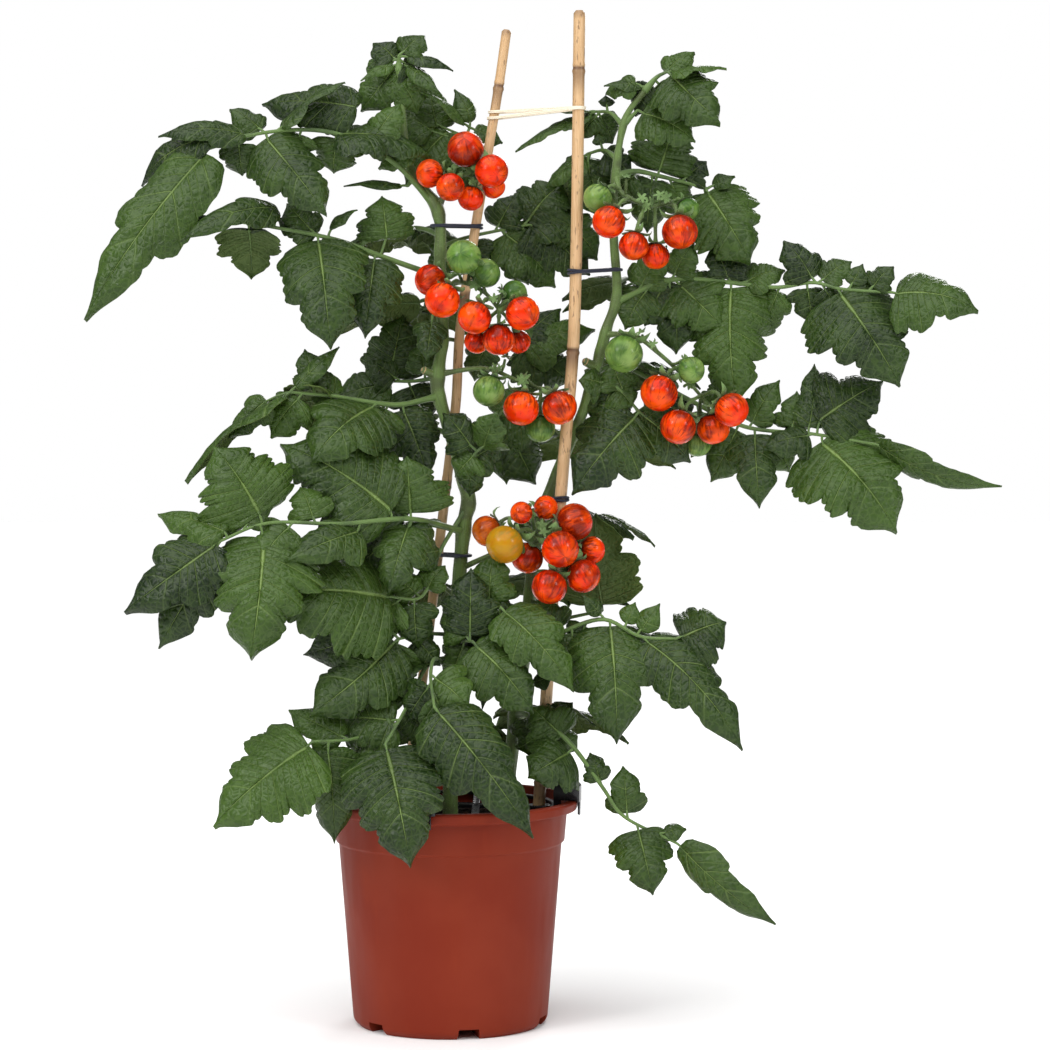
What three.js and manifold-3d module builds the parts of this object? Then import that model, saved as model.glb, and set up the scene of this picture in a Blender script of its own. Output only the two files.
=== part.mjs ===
// A tomato plant in a nursery pot: two leafy stems tied to two bamboo canes, with six trusses of cherry
// tomatoes. Millimetres, +Z up, the origin at the middle of the pot's underside, the front towards -Y.
import * as THREE from "three";
import { mergeVertices } from "three/addons/utils/BufferGeometryUtils.js";
import Module from "manifold-3d";

const wasm = await Module();
wasm.setup();

// Driving sizes
const CLEARANCE = 0.35;
const ROUND_SIDES = 24;
const RIM_RADIUS = 105;
const POT_HEIGHT = 184;
const LIP_HEIGHT = 8.5;
const BAND_RADIUS = 95.5;
const GROOVE_HEIGHT = 150;
const GROOVE_RADIUS = 91;
const BASE_RADIUS = 79.5;
const POT_WALL = 2;
const POT_FLOOR = 10;
const FOOT_NOTCHES = 6;
const NOTCH_WIDTH = 15;
const NOTCH_HEIGHT = 7;
const NOTCH_INNER_RADIUS = 42;
const FIRST_NOTCH = 12;
const SOIL_TOP = 169;
const SOIL_MOUND = 4;
const STEM_FOOT = 128;
const CANE_FOOT = 40;
const CANE_STEPS = 13;
const HOLDER_RADIUS = 88;
const HOLDER_WIDTH = 5;
const HOLDER_LEVEL = 176;
const HOLDER_THICKNESS = 3;
const HOLDER_EYE_RADIUS = 9.5;
const CROSS_BAR_X = 21;
const TAB_COUNT = 4;
const FIRST_TAB = -8.8;
const TAB_WIDTH = 14;
const TAB_TOP = 199;
const TONGUE_WIDTH = 7;
const TONGUE_BOTTOM = 172;
const BLADE_THICKNESS = 1;
const BREADTH = 1.3; // of the leaflets, on the widths in their list
const NECK_WIDTH = 3;
const NECK_LENGTH = 5;
const ROOT_DEPTH = 0.7;
const PEDICEL_RADIUS = 1.7;
const SEPALS = 5;

// The plant is set out as it shows from the front. A place is [x, z, y]: x and z where it shows in the
// upright plane through the pot's axis, seen from VIEW_POINT, and y how far it lies behind that plane.
const VIEW_POINT = new THREE.Vector3(61, -2600, 528);
const UP = new THREE.Vector3(0, 0, 1);
const TO_FRONT = new THREE.Vector3(0, -1, 0);
const FIRST_SIDE = new THREE.Vector3(0.36, 0.48, 0.8);

const SIDES = ["left", "right"];

const CANES = {
  left: {
    radius: 4,
    nodes: [0.27, 0.52, 0.72, 0.94],
    way: [[-53, CANE_FOOT, 6], [-38, 173, 6], [-20, 300, 7], [-2, 448, 7], [5, 508, 7], [8, 563, 7],
      [19.5, 640, 6.5], [30, 703, 6], [40, 764, 6], [46, 806, 5]],
  },
  right: {
    radius: 4.9,
    nodes: [0.2, 0.42, 0.65, 0.94],
    way: [[62, CANE_FOOT, -6], [72, 173, -6], [79, 275, -6], [83, 339, -6], [90, 428, -6], [94, 477, -6],
      [100, 549, -6], [102.6, 630, -6], [104, 730, -6], [105, 821, -6]],
  },
};

const STEMS = {
  left: {
    radii: [6.5, 6.5, 6, 5.5, 5.5, 3.2],
    way: [[2, STEM_FOOT, -16], [0, 173, -15], [2, 240, -11], [4, 313, -8], [12, 411, -6], [15, 427, -6],
      [-3, 492, -8], [-10, 518, -9], [-6, 560, -9], [-8, 613, -9], [-10, 663, -8], [-32, 696, 0],
      [-41, 777, 2]],
  },
  right: {
    radii: [6, 6, 5.5, 5, 4.5, 2.6],
    way: [[43, STEM_FOOT, 22], [45, 173, 22], [60, 303, 18], [72, 403, 12], [85, 444, 10], [110, 504, 5],
      [119, 535, 4], [128, 569, 4], [135, 590, 4], [133, 643, 4], [134, 687, 4], [143, 738, 4],
      [160, 761, 4]],
  },
};

// Ties round a stem and a cane: the cane, the height and how much higher the tie sits at the stem
const TIES = [
  { name: "tie_left_high", side: "left", height: 649, tilt: 0 },
  { name: "tie_left_low", side: "left", height: 382, tilt: 0 },
  { name: "tie_right_high", side: "right", height: 612, tilt: 2 },
  { name: "tie_right_low", side: "right", height: 428, tilt: 0 },
];
const TIE_RADIUS = 1.3;
const STRAND_RADIUS = 1.2;
const CORD_SIDES = 5;
const BAND_HEIGHTS = [[737, 744], [742, 744.5]];

// Trusses: the stem, the height of the stalk's root, the stalk's way, the depth of the fruits in front,
// and the fruits from front to back as [x, z, radius, ripeness]
const TRUSSES = [
  {
    name: "top_left", stem: "left", from: 664, depth: -31,
    stalk: [[2, 684, -10], [14, 692, -10], [26, 688, -10]],
    fruits: [[34, 694, 13.5, "ripe"], [12.8, 711.6, 14.8, "ripe"], [0.6, 681, 11.5, "ripe"],
      [-16.2, 692, 11.6, "ripe"], [17, 672, 10.5, "ripe"], [35.7, 681, 9.5, "ripe"]],
  },
  {
    name: "second_left", stem: "left", from: 598, depth: -50,
    stalk: [[10, 604, -24], [28, 596, -32], [40, 582, -32]],
    fruits: [[-6, 589.6, 14.3, "ripe"], [20, 575.5, 13.5, "ripe"], [59, 579, 13.8, "ripe"],
      [39.6, 557.7, 13.2, "ripe"], [-15.8, 605.8, 12.9, "ripe"], [11.3, 624.5, 14, "green"],
      [29.3, 611.6, 12, "green"], [52.5, 594.8, 11, "green"], [21.6, 556, 10, "ripe"],
      [55.7, 556, 10, "ripe"]],
  },
  {
    name: "centre", stem: "left", from: 530, depth: -31,
    stalk: [[30, 534, -16], [60, 522, -18], [74, 518, -18]],
    fruits: [[57.9, 502, 14.5, "ripe"], [89, 502.5, 14.3, "ripe"], [31.6, 516, 13, "green"],
      [73, 486, 12.5, "green"]],
  },
  {
    name: "upper_right", stem: "right", from: 690, depth: -34,
    stalk: [[140, 676, -8], [165, 666, -14], [182, 670, -14]],
    fruits: [[129, 653, 13.5, "ripe"], [149, 633.5, 12, "ripe"], [167, 625.4, 11.3, "ripe"],
      [186.6, 645, 14.5, "ripe"], [193, 663, 9.5, "green"], [120, 672, 12, "green"]],
  },
  {
    name: "lower_right", stem: "right", from: 562, depth: -32,
    stalk: [[150, 561, -12], [168, 548, -16], [190, 528, -16], [204, 512, -14]],
    fruits: [[141.3, 546, 15.5, "green"], [170, 514.4, 15.2, "ripe"], [185.5, 487, 14.6, "ripe"],
      [229, 500.6, 14, "ripe"], [214, 485.6, 13.6, "ripe"], [201.3, 473, 11, "green"],
      [196, 533, 11, "green"]],
  },
  {
    name: "bottom", stem: "right", from: 421, depth: -44,
    stalk: [[68, 412, -6], [70, 400, -20], [82, 388, -24], [96, 376, -22]],
    fruits: [[89.8, 387.2, 15, "ripe"], [101.6, 409.5, 15.2, "ripe"], [80.7, 356.5, 14.3, "ripe"],
      [44.4, 391.2, 15.5, "yellow"], [62.7, 380.3, 13.2, "ripe"], [30.2, 402, 12.8, "orange"],
      [108.5, 365.4, 14, "ripe"], [115.5, 386.5, 11.2, "ripe"], [78, 421, 10, "ripe"],
      [58, 417, 9, "ripe"]],
  },
];

// Compound leaves: the stem, the height of the stalk's root, the stalk's way, and the leaflets as [base
// x, base z, tip x, tip z, width, y of the tip from its base, turn]. At turn 0 a blade's upper face
// looks up, at 90 it looks to the front, and a turn below 0 shows the underside.
const LEAVES = [
  {
    name: "upper left", stem: "left", from: 668,
    stalk: [[-48, 703, -16], [-95, 725, -28], [-150, 725, -40],
      [-195, 712, -50]],
    leaflets: [[-195, 712, -297, 574, 55, -25, 55], [-148, 720, -100, 660, 50, -30, 60],
      [-92, 724, -94, 692, 38, 14, 50], [-95, 729, -15, 706, 45, 15, 35],
      [-140, 727, -85, 766, 20, 10, 12], [-76, 746, -152, 748, 40, 26, 62],
      [-160, 724, -236, 722, 24, -6, 50], [-172, 722, -168, 690, 28, 14, 60]],
  },
  {
    name: "behind the top truss", stem: "left", from: 660, stalk: [[2, 690, 13], [16, 729, 19]],
    leaflets: [[13, 731, -23, 758, 14, -18, 30], [17, 734, 4, 760, 16, 12, 35],
      [17, 731, 43, 717, 20, 4, 50]],
  },
  {
    name: "left shoot", stem: "left", from: 775, stalk: [[-41, 781, 2], [-41, 787, 0]],
    leaflets: [[-42, 782, -62, 797, 30, 12, 50], [-40, 787, -20, 803, 26, 10, 50],
      [-34, 786, 3, 775, 12, -2, 40], [-41, 778, -26, 740, 34, 4, 66], [-34, 779, -6, 755, 12, -18, 50],
      [-46, 779, -72, 767, 10, -12, 50]],
  },
  {
    name: "left sword", stem: "left", from: 690, stalk: [[-34, 682, -4]],
    leaflets: [[-36, 682, -86, 682, 8, -4, 45]],
  },
  {
    name: "second left", stem: "left", from: 608,
    stalk: [[-55, 625, -22], [-90, 638, -34], [-139, 648, -44],
      [-178, 654, -50]],
    leaflets: [[-178, 654, -226, 651, 10, -6, 60], [-140, 664, -219, 637, 26, -36, 58],
      [-51, 640, -55, 674, 42, 12, 72], [-97, 647, -75, 663, 10, 4, 30],
      [-60, 628, -69, 560, 42, -26, 70],
      [-107, 643, -97, 551, 62, -34, 68], [-108, 646, -132, 668, 28, 14, 55],
      [-163, 652, -161, 608, 45, 24, -60]],
  },
  {
    name: "middle left", stem: "left", from: 512,
    stalk: [[-40, 505, -26], [-58, 506, -36], [-95, 512, -48],
      [-130, 515, -56]],
    leaflets: [[-60, 502, -112, 460, 62, -50, 62], [-90, 515, -158, 495, 44, 24, -50],
      [-130, 515, -216, 443, 38, -14, -10], [-130, 517, -90, 552, 14, 12, 48]],
  },
  {
    name: "behind left", stem: "left", from: 527, stalk: [[-30, 524, 8], [-50, 524, 20]],
    leaflets: [[-52, 525, -38, 578, 45, 10, 70], [-44, 524, -96, 510, 38, 16, 62]],
  },
  {
    name: "small front left", stem: "left", from: 585, stalk: [[-14, 577, -18]],
    leaflets: [[-14, 574, -19, 541, 24, -8, 70]],
  },
  {
    name: "middle fan", stem: "left", from: 402,
    stalk: [[-33, 412, -62], [-90, 408, -92], [-152, 408, -104],
      [-187, 394, -108]],
    leaflets: [[-33, 416, -35, 463, 58, 0, 72], [-34, 406, -50, 352, 40, -24, 68],
      [-48, 419, -138, 473, 75, 8, 70], [-155, 416, -192, 471, 70, 6, 70],
      [-152, 396, -163, 298, 75, -26, 68], [-189, 396, -266, 336, 56, -6, 56],
      [-186, 390, -238, 306, 44, 8, 60]],
  },
  {
    name: "low left long", stem: "left", from: 423,
    stalk: [[-8, 386, -30], [-24, 348, -54], [-45, 348, -66]],
    leaflets: [[-45, 348, -178, 345, 80, -40, 62], [-20, 350, -4, 374, 22, 10, 60]],
  },
  {
    name: "low left second", stem: "left", from: 318, stalk: [[-22, 318, -38], [-42, 314, -56]],
    leaflets: [[-42, 312, -114, 252, 60, -44, 76], [-54, 325, -120, 301, 38, 28, 74]],
  },
  {
    name: "low left third", stem: "left", from: 300, stalk: [[-17, 294, -34], [-32, 265, -64],
      [-43, 245, -84], [-53, 228, -98]],
    leaflets: [[-53, 228, -31, 128, 84, -34, 68]],
  },
  {
    name: "low left fourth", stem: "left", from: 262, stalk: [[-30, 250, -40], [-80, 232, -84],
      [-112, 230, -98]],
    leaflets: [[-112, 231, -194, 160, 72, -16, 48], [-100, 222, -95, 146, 42, 16, 55]],
  },
  {
    name: "front low", stem: "left", from: 285,
    stalk: [[-12, 298, -44], [-16, 284, -76], [-13, 258, -102]],
    leaflets: [[-15, 284, 15, 258, 38, -16, 70], [-13, 257, 68, 151, 52, -22, 66]],
  },
  {
    name: "front centre", stem: "left", from: 306, stalk: [[10, 312, -38], [18, 312, -56]],
    leaflets: [[16, 313, 17, 372, 40, 8, 70], [20, 312, 68, 253, 52, -10, 60]],
  },
  {
    name: "front right", stem: "left", from: 330, stalk: [[22, 338, -30], [41, 340, -48]],
    leaflets: [[41, 339, 101, 271, 44, -18, 62]],
  },
  {
    name: "centre sprig", stem: "left", from: 440, stalk: [[12, 452, -20], [22, 467, -32]],
    leaflets: [[17, 471, -5, 498, 30, -6, 70], [27, 470, 38, 499, 30, -24, 70]],
  },
  {
    name: "dark centre", stem: "left", from: 446, stalk: [[30, 478, 14], [42, 500, 24]],
    leaflets: [[46, 499, 70, 440, 58, 8, 60]],
  },
  {
    name: "between canes, high", stem: "left", from: 630,
    stalk: [[0, 636, 10], [16, 641, 19], [60, 650, 27]],
    leaflets: [[42, 647, 86, 600, 44, 10, 62], [36, 649, 55, 676, 30, 8, 60],
      [60, 651, 92, 684, 54, 12, 60]],
  },
  {
    name: "between canes, low", stem: "left", from: 556,
    stalk: [[-1, 558, 9], [12, 556, 20], [55, 554, 27]],
    leaflets: [[56, 556, 90, 583, 35, 22, 40], [55, 552, 98, 523, 48, 20, 65]],
  },
  {
    name: "upper middle", stem: "right", from: 730, stalk: [[130, 741, 12], [118, 742, 21]],
    leaflets: [[118, 744, 70, 740, 16, -10, 8], [118, 738, 53, 710, 22, -8, 18],
      [128, 742, 126, 755, 10, 4, 40]],
  },
  {
    name: "middle inner", stem: "right", from: 703, stalk: [[125, 711, 14], [112, 708, 20]],
    leaflets: [[112, 708, 78, 681, 20, 4, 45], [124, 712, 120, 724, 10, 2, 45]],
  },
  {
    name: "right crown", stem: "right", from: 759, stalk: [[168, 770, 4], [176, 774, 2]],
    leaflets: [[176, 774, 219, 733, 50, -26, 60], [174, 776, 224, 777, 24, -4, 6],
      [165, 768, 186, 748, 20, 6, -50], [160, 762, 125, 763, 10, -4, 40]],
  },
  {
    name: "right upper single", stem: "right", from: 733, stalk: [[152, 743, 2]],
    leaflets: [[153, 742, 199, 718, 40, -8, 60]],
  },
  {
    name: "right upper", stem: "right", from: 690,
    stalk: [[150, 694, 10], [170, 690, 14], [209, 680, 16]],
    leaflets: [[169, 692, 181, 730, 55, 8, 70], [168, 688, 157, 658, 45, 6, 60],
      [207, 682, 244, 620, 64, -18, 64],
      [212, 681, 231, 690, 14, 2, 50]],
  },
  {
    name: "right long", stem: "right", from: 588, stalk: [[178, 606, 8], [227, 604, 10], [266, 600, 6],
      [295, 604, 2], [316, 599, -4], [357, 596, -10]],
    leaflets: [[176, 605, 158, 569, 40, -4, 66], [182, 605, 222, 567, 52, -6, 66],
      [228, 603, 233, 503, 64, -10, 70], [268, 597, 252, 561, 24, 22, 60],
      [297, 606, 271, 638, 30, 8, 60],
      [299, 605, 326, 621, 24, 6, 55], [290, 602, 292, 571, 28, 8, 60], [302, 602, 316, 574, 22, 6, 60],
      [314, 599, 366, 520, 70, -20, 64], [357, 596, 429, 581, 54, -12, 50],
      [340, 599, 360, 617, 22, 4, 55],
      [324, 600, 335, 619, 16, 4, 55], [236, 603, 272, 614, 26, 6, 55]],
  },
  {
    name: "right middle", stem: "right", from: 548,
    stalk: [[150, 533, 16], [196, 508, 20], [240, 487, 14],
      [296, 481, 2], [344, 473, -8]],
    leaflets: [[300, 492, 352, 524, 59, 10, 70], [292, 487, 296, 538, 26, 28, 60],
      [302, 474, 364, 401, 80, -24, 66], [296, 479, 255, 470, 30, -8, 55],
      [346, 469, 449, 438, 22, -14, 125],
      [233, 484, 212, 442, 34, 6, 62], [247, 482, 252, 421, 38, -16, 64],
      [244, 489, 268, 525, 26, 8, 62]],
  },
  {
    name: "right inner", stem: "right", from: 516, stalk: [[131, 522, -8], [154, 499, -14]],
    leaflets: [[153, 498, 99, 432, 59, -10, 66], [128, 523, 105, 525, 26, -2, 60],
      [134, 521, 148, 503, 30, -6, 62]],
  },
  {
    name: "right low", stem: "right", from: 300, stalk: [[66, 308, -12], [86, 317, -26], [125, 330, -36],
      [155, 316, -42], [184, 314, -46]],
    leaflets: [[130, 328, 136, 228, 62, -24, 70], [126, 331, 107, 351, 11, -4, 60],
      [157, 315, 239, 223, 46, -24, 60], [184, 314, 225, 328, 54, 8, 52], [154, 321, 171, 343, 16, 6, 60],
      [143, 324, 151, 344, 14, 8, 60], [100, 322, 99, 286, 34, -10, 66]],
  },
  {
    name: "right underside", stem: "right", from: 322,
    stalk: [[70, 325, 10], [100, 332, 8], [124, 337, 2]],
    leaflets: [[124, 338, 119, 416, 62, 14, -62]],
  },
  {
    name: "narrow low", stem: "right", from: 262, stalk: [[60, 272, 0], [63, 277, -16]],
    leaflets: [[62, 277, 85, 283, 14, -2, 45]],
  },
  {
    name: "lowest right", stem: "right", from: 250,
    stalk: [[62, 252, -6], [80, 244, -24], [100, 226, -36],
      [126, 190, -42], [140, 170, -44], [184, 147, -48]],
    leaflets: [[95, 232, 65, 259, 42, 12, 66], [97, 221, 65, 202, 48, -26, 68],
      [124, 193, 114, 221, 20, 8, 60],
      [146, 168, 141, 210, 28, 10, 60], [154, 165, 166, 104, 44, -16, 64],
      [170, 154, 193, 158, 14, 4, 50],
      [184, 147, 266, 79, 28, -10, 115]],
  },
];

// Leaves on the far side, where each follows one rule: [stem, height of the root, compass angle from
// +X, length of the stalk]
const FAR_LEAVES = [
  ["left", 236, 100, 110], ["left", 292, 188, 100], ["left", 345, 112, 120], ["left", 400, 182, 95],
  ["left", 480, 150, 110], ["left", 582, 112, 100], ["left", 642, 136, 80], ["right", 244, 60, 100],
  ["right", 300, 18, 90], ["right", 352, 74, 120], ["right", 404, 60, 120], ["right", 470, 70, 120],
  ["right", 530, 46, 100], ["right", 600, 74, 100], ["right", 684, 84, 80],
];
const FAR_RISE = 0.45;
const FAR_FALL = 0.6;
const FAR_WIDTH = 62;
const FAR_SAG = 0.3;
const FAR_LEAFLETS = [[0.34, 0.85], [0.6, 1]];

const MATERIALS = {
  pot: new THREE.MeshStandardMaterial({ color: "#a34a33", roughness: 0.5, metalness: 0 }),
  holder: new THREE.MeshStandardMaterial({ color: "#1d1d22", roughness: 0.5, metalness: 0 }),
  soil: new THREE.MeshStandardMaterial({ color: "#2b211a", roughness: 1, metalness: 0 }),
  cane: new THREE.MeshStandardMaterial({ color: "#cfac7c", roughness: 0.6, metalness: 0 }),
  band: new THREE.MeshStandardMaterial({ color: "#f2e6cf", roughness: 0.6, metalness: 0 }),
  tie: new THREE.MeshStandardMaterial({ color: "#262b3c", roughness: 0.5, metalness: 0 }),
  foliage: new THREE.MeshStandardMaterial({ color: "#3f6238", roughness: 0.6, metalness: 0 }),
  ripe: new THREE.MeshStandardMaterial({ color: "#dd3a10", roughness: 0.2, metalness: 0 }),
  orange: new THREE.MeshStandardMaterial({ color: "#d4611f", roughness: 0.2, metalness: 0 }),
  yellow: new THREE.MeshStandardMaterial({ color: "#cfa034", roughness: 0.2, metalness: 0 }),
  green: new THREE.MeshStandardMaterial({ color: "#7fa25c", roughness: 0.25, metalness: 0 }),
};

const group = new THREE.Group();

function addPiece(name, solid, material) {
  const mesh = new THREE.Mesh(geometryOf(solid), MATERIALS[material]);
  mesh.name = name;
  group.add(mesh);
}

function solidOf(geometry) {
  const bare = geometry.clone();
  bare.deleteAttribute("normal");
  bare.deleteAttribute("uv");
  const merged = mergeVertices(bare, 1e-4);
  return new wasm.Manifold(new wasm.Mesh({
    numProp: 3,
    vertProperties: new Float32Array(merged.attributes.position.array),
    triVerts: new Uint32Array(merged.index.array),
  }));
}

function geometryOf(solid) {
  const mesh = solid.getMesh();
  const geometry = new THREE.BufferGeometry();
  geometry.setAttribute("position", new THREE.BufferAttribute(mesh.vertProperties, 3));
  geometry.setIndex(new THREE.BufferAttribute(mesh.triVerts, 1));
  return geometry;
}

// Joins the pieces and keeps the one outer body: what the joining seals in is filled and scraps are
// dropped
function joined(solids) {
  const bodies = wasm.Manifold.union(solids).decompose();
  return bodies.reduce((largest, body) => (body.volume() > largest.volume() ? body : largest));
}

// A repeatable number from 0 to 1 for each whole number
function chance(number) {
  const value = Math.sin(number * 12.9898 + 4.1414) * 43758.5453;
  return value - Math.floor(value);
}

// The point that shows at x, z from the front and lies y behind the plane through the pot's axis
function seen([x, z, y]) {
  const reach = (y - VIEW_POINT.y) / -VIEW_POINT.y;
  return new THREE.Vector3(x, 0, z).sub(VIEW_POINT).multiplyScalar(reach).add(VIEW_POINT);
}

// The point of a row of rising points, joined by straight lines, at height z
function pointAtHeight(line, height) {
  const index = line.findIndex((point, place) => place > 0 && point.z >= height);
  const [low, high] = index > 0 ? [line[index - 1], line[index]] : line.slice(-2);
  return low.clone().lerp(high, Math.min(1, (height - low.z) / (high.z - low.z)));
}

function nearestOn(line, point) {
  let nearest = line[0];
  line.slice(1).forEach((end, index) => {
    const piece = new THREE.Line3(line[index], end);
    const candidate = piece.closestPointToPoint(point, true, new THREE.Vector3());
    if (candidate.distanceTo(point) < nearest.distanceTo(point)) nearest = candidate;
  });
  return nearest;
}

// A smooth row of evenly spaced points through the given ones
function smoothed(points, steps) {
  return new THREE.CatmullRomCurve3(points, false, "centripetal").getSpacedPoints(steps);
}

// A round limb along a row of points: a cylinder's rings are set at them, with the radius for their
// place
function limb(line, radiusAt, sides) {
  const steps = line.length - 1;
  const geometry = new THREE.CylinderGeometry(1, 1, 1, sides, steps);
  const frames = [];
  line.forEach((point, index) => {
    const [back, ahead] = [line[Math.max(index - 1, 0)], line[Math.min(index + 1, steps)]];
    const tangent = ahead.clone().sub(back).normalize();
    const before = index > 0 ? frames[index - 1].normal : FIRST_SIDE.clone().cross(tangent);
    const normal = before.clone().addScaledVector(tangent, -before.dot(tangent)).normalize();
    frames.push({ point, normal, binormal: new THREE.Vector3().crossVectors(tangent, normal) });
  });
  const place = geometry.attributes.position;
  for (let index = 0; index < place.count; index += 1) {
    const along = place.getY(index) + 0.5;
    const { point, normal, binormal } = frames[Math.round(along * steps)];
    const radius = radiusAt(along);
    const shifted = point.clone().addScaledVector(binormal, place.getX(index) * radius);
    shifted.addScaledVector(normal, place.getZ(index) * radius);
    place.setXYZ(index, shifted.x, shifted.y, shifted.z);
  }
  return solidOf(geometry);
}

// Reads a row of radii, evenly spaced along a limb, at any place from 0 to 1
function blended(radii) {
  return (along) => {
    const place = along * (radii.length - 1);
    const index = Math.min(Math.floor(place), radii.length - 2);
    return THREE.MathUtils.lerp(radii[index], radii[index + 1], place - index);
  };
}

// A closed round cord laid along a loop that runs anticlockwise seen from above, with a ring at each
// point
function cordLoop(points, radius) {
  const curve = new THREE.CatmullRomCurve3(points, true, "centripetal");
  const geometry = new THREE.TorusGeometry(1, 0.1, CORD_SIDES, points.length);
  const place = geometry.attributes.position;
  const turn = geometry.attributes.uv;
  for (let index = 0; index < place.count; index += 1) {
    const around = turn.getX(index) % 1;
    const section = turn.getY(index) * 2 * Math.PI;
    const outward = new THREE.Vector3().crossVectors(curve.getTangent(around), UP).normalize();
    const point = curve.getPoint(around).addScaledVector(outward, radius * Math.cos(section));
    point.addScaledVector(UP, radius * Math.sin(section));
    place.setXYZ(index, point.x, point.y, point.z);
  }
  return solidOf(geometry);
}

// The loop of a cord pulled tight round two upright rods, clear of them between its points too
function loopRound(first, second, cordRadius) {
  const heading = Math.atan2(second.centre.y - first.centre.y, second.centre.x - first.centre.x);
  const pitch = Math.PI / 4;
  const points = [];
  [[first, Math.PI / 2], [second, -Math.PI / 2]].forEach(([rod, start]) => {
    const reach = (rod.radius + cordRadius + CLEARANCE) / Math.cos(pitch / 2);
    for (let step = 0; step <= 4; step += 1) {
      const angle = heading + start + pitch * step;
      points.push(new THREE.Vector3(
        rod.centre.x + reach * Math.cos(angle),
        rod.centre.y + reach * Math.sin(angle),
        rod.centre.z,
      ));
    }
  });
  return points;
}

function potSolid() {
  const lip = POT_HEIGHT - LIP_HEIGHT;
  const profile = [
    [0, 0], [BASE_RADIUS - 4, 0], [BASE_RADIUS, 4], [GROOVE_RADIUS, GROOVE_HEIGHT - 2],
    [GROOVE_RADIUS + 2.4, GROOVE_HEIGHT], [BAND_RADIUS, lip], [RIM_RADIUS - 1, lip],
    [RIM_RADIUS, lip + 2],
    [RIM_RADIUS, POT_HEIGHT - 2], [RIM_RADIUS - 2, POT_HEIGHT], [BAND_RADIUS, POT_HEIGHT],
    [BAND_RADIUS - POT_WALL, POT_HEIGHT - 2], [BAND_RADIUS - POT_WALL, lip],
    [GROOVE_RADIUS - POT_WALL, GROOVE_HEIGHT - 2], [BASE_RADIUS - POT_WALL, POT_FLOOR], [0, POT_FLOOR],
  ].map(([radius, height]) => new THREE.Vector2(radius, height));
  const body = solidOf(new THREE.LatheGeometry(profile, ROUND_SIDES).rotateX(Math.PI / 2));
  const length = RIM_RADIUS - NOTCH_INNER_RADIUS;
  const notches = Array.from({ length: FOOT_NOTCHES }, (_, index) => {
    const notch = new THREE.BoxGeometry(NOTCH_WIDTH, length, 2 * NOTCH_HEIGHT);
    notch.translate(0, -NOTCH_INNER_RADIUS - length / 2, 0);
    notch.rotateZ(THREE.MathUtils.degToRad(FIRST_NOTCH + (360 / FOOT_NOTCHES) * index));
    return solidOf(notch);
  });
  return body.subtract(wasm.Manifold.union(notches));
}

function soilSolid(rods) {
  const wall = (BASE_RADIUS + GROOVE_RADIUS) / 2;
  const slope = (GROOVE_RADIUS - BASE_RADIUS) / (GROOVE_HEIGHT - 6);
  const radiusAt = (height) => wall + slope * (height - GROOVE_HEIGHT / 2) - POT_WALL - 2 * CLEARANCE;
  const profile = [
    [0, POT_FLOOR + CLEARANCE], [radiusAt(POT_FLOOR) - 1, POT_FLOOR + CLEARANCE],
    [radiusAt(GROOVE_HEIGHT - 8), GROOVE_HEIGHT - 8], [radiusAt(GROOVE_HEIGHT - 8) + 0.5, SOIL_TOP - 3],
    [HOLDER_RADIUS - 6, SOIL_TOP], [0, SOIL_TOP + SOIL_MOUND],
  ].map(([radius, height]) => new THREE.Vector2(radius, height));
  const body = solidOf(new THREE.LatheGeometry(profile, ROUND_SIDES).rotateX(Math.PI / 2));
  return body.subtract(wasm.Manifold.union(rods));
}

// The holder's tab stands on the ring, passes over the pot's lip and hooks down outside it with a
// tongue
function tabSolid(angle) {
  const inside = HOLDER_RADIUS - 2;
  const outside = RIM_RADIUS + CLEARANCE;
  const section = new THREE.Shape([
    [inside, HOLDER_LEVEL + 0.5], [inside + 4, HOLDER_LEVEL + 0.5], [inside + 4, POT_HEIGHT + CLEARANCE],
    [outside + 2, POT_HEIGHT + CLEARANCE], [outside + 2, TAB_TOP - 3], [outside - 1, TAB_TOP],
    [inside, TAB_TOP],
  ].map(([radius, height]) => new THREE.Vector2(radius, height)));
  const block = new THREE.ExtrudeGeometry(section, { depth: TAB_WIDTH, bevelEnabled: false });
  block.translate(0, 0, -TAB_WIDTH / 2).rotateX(Math.PI / 2).rotateZ(angle - Math.PI / 2);
  const tongue = new THREE.BoxGeometry(TONGUE_WIDTH, 1.8, POT_HEIGHT + 4 - TONGUE_BOTTOM);
  tongue.translate(0, -outside - 0.9, (POT_HEIGHT + 4 + TONGUE_BOTTOM) / 2).rotateZ(angle);
  return joined([solidOf(block), solidOf(tongue)]);
}

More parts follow.
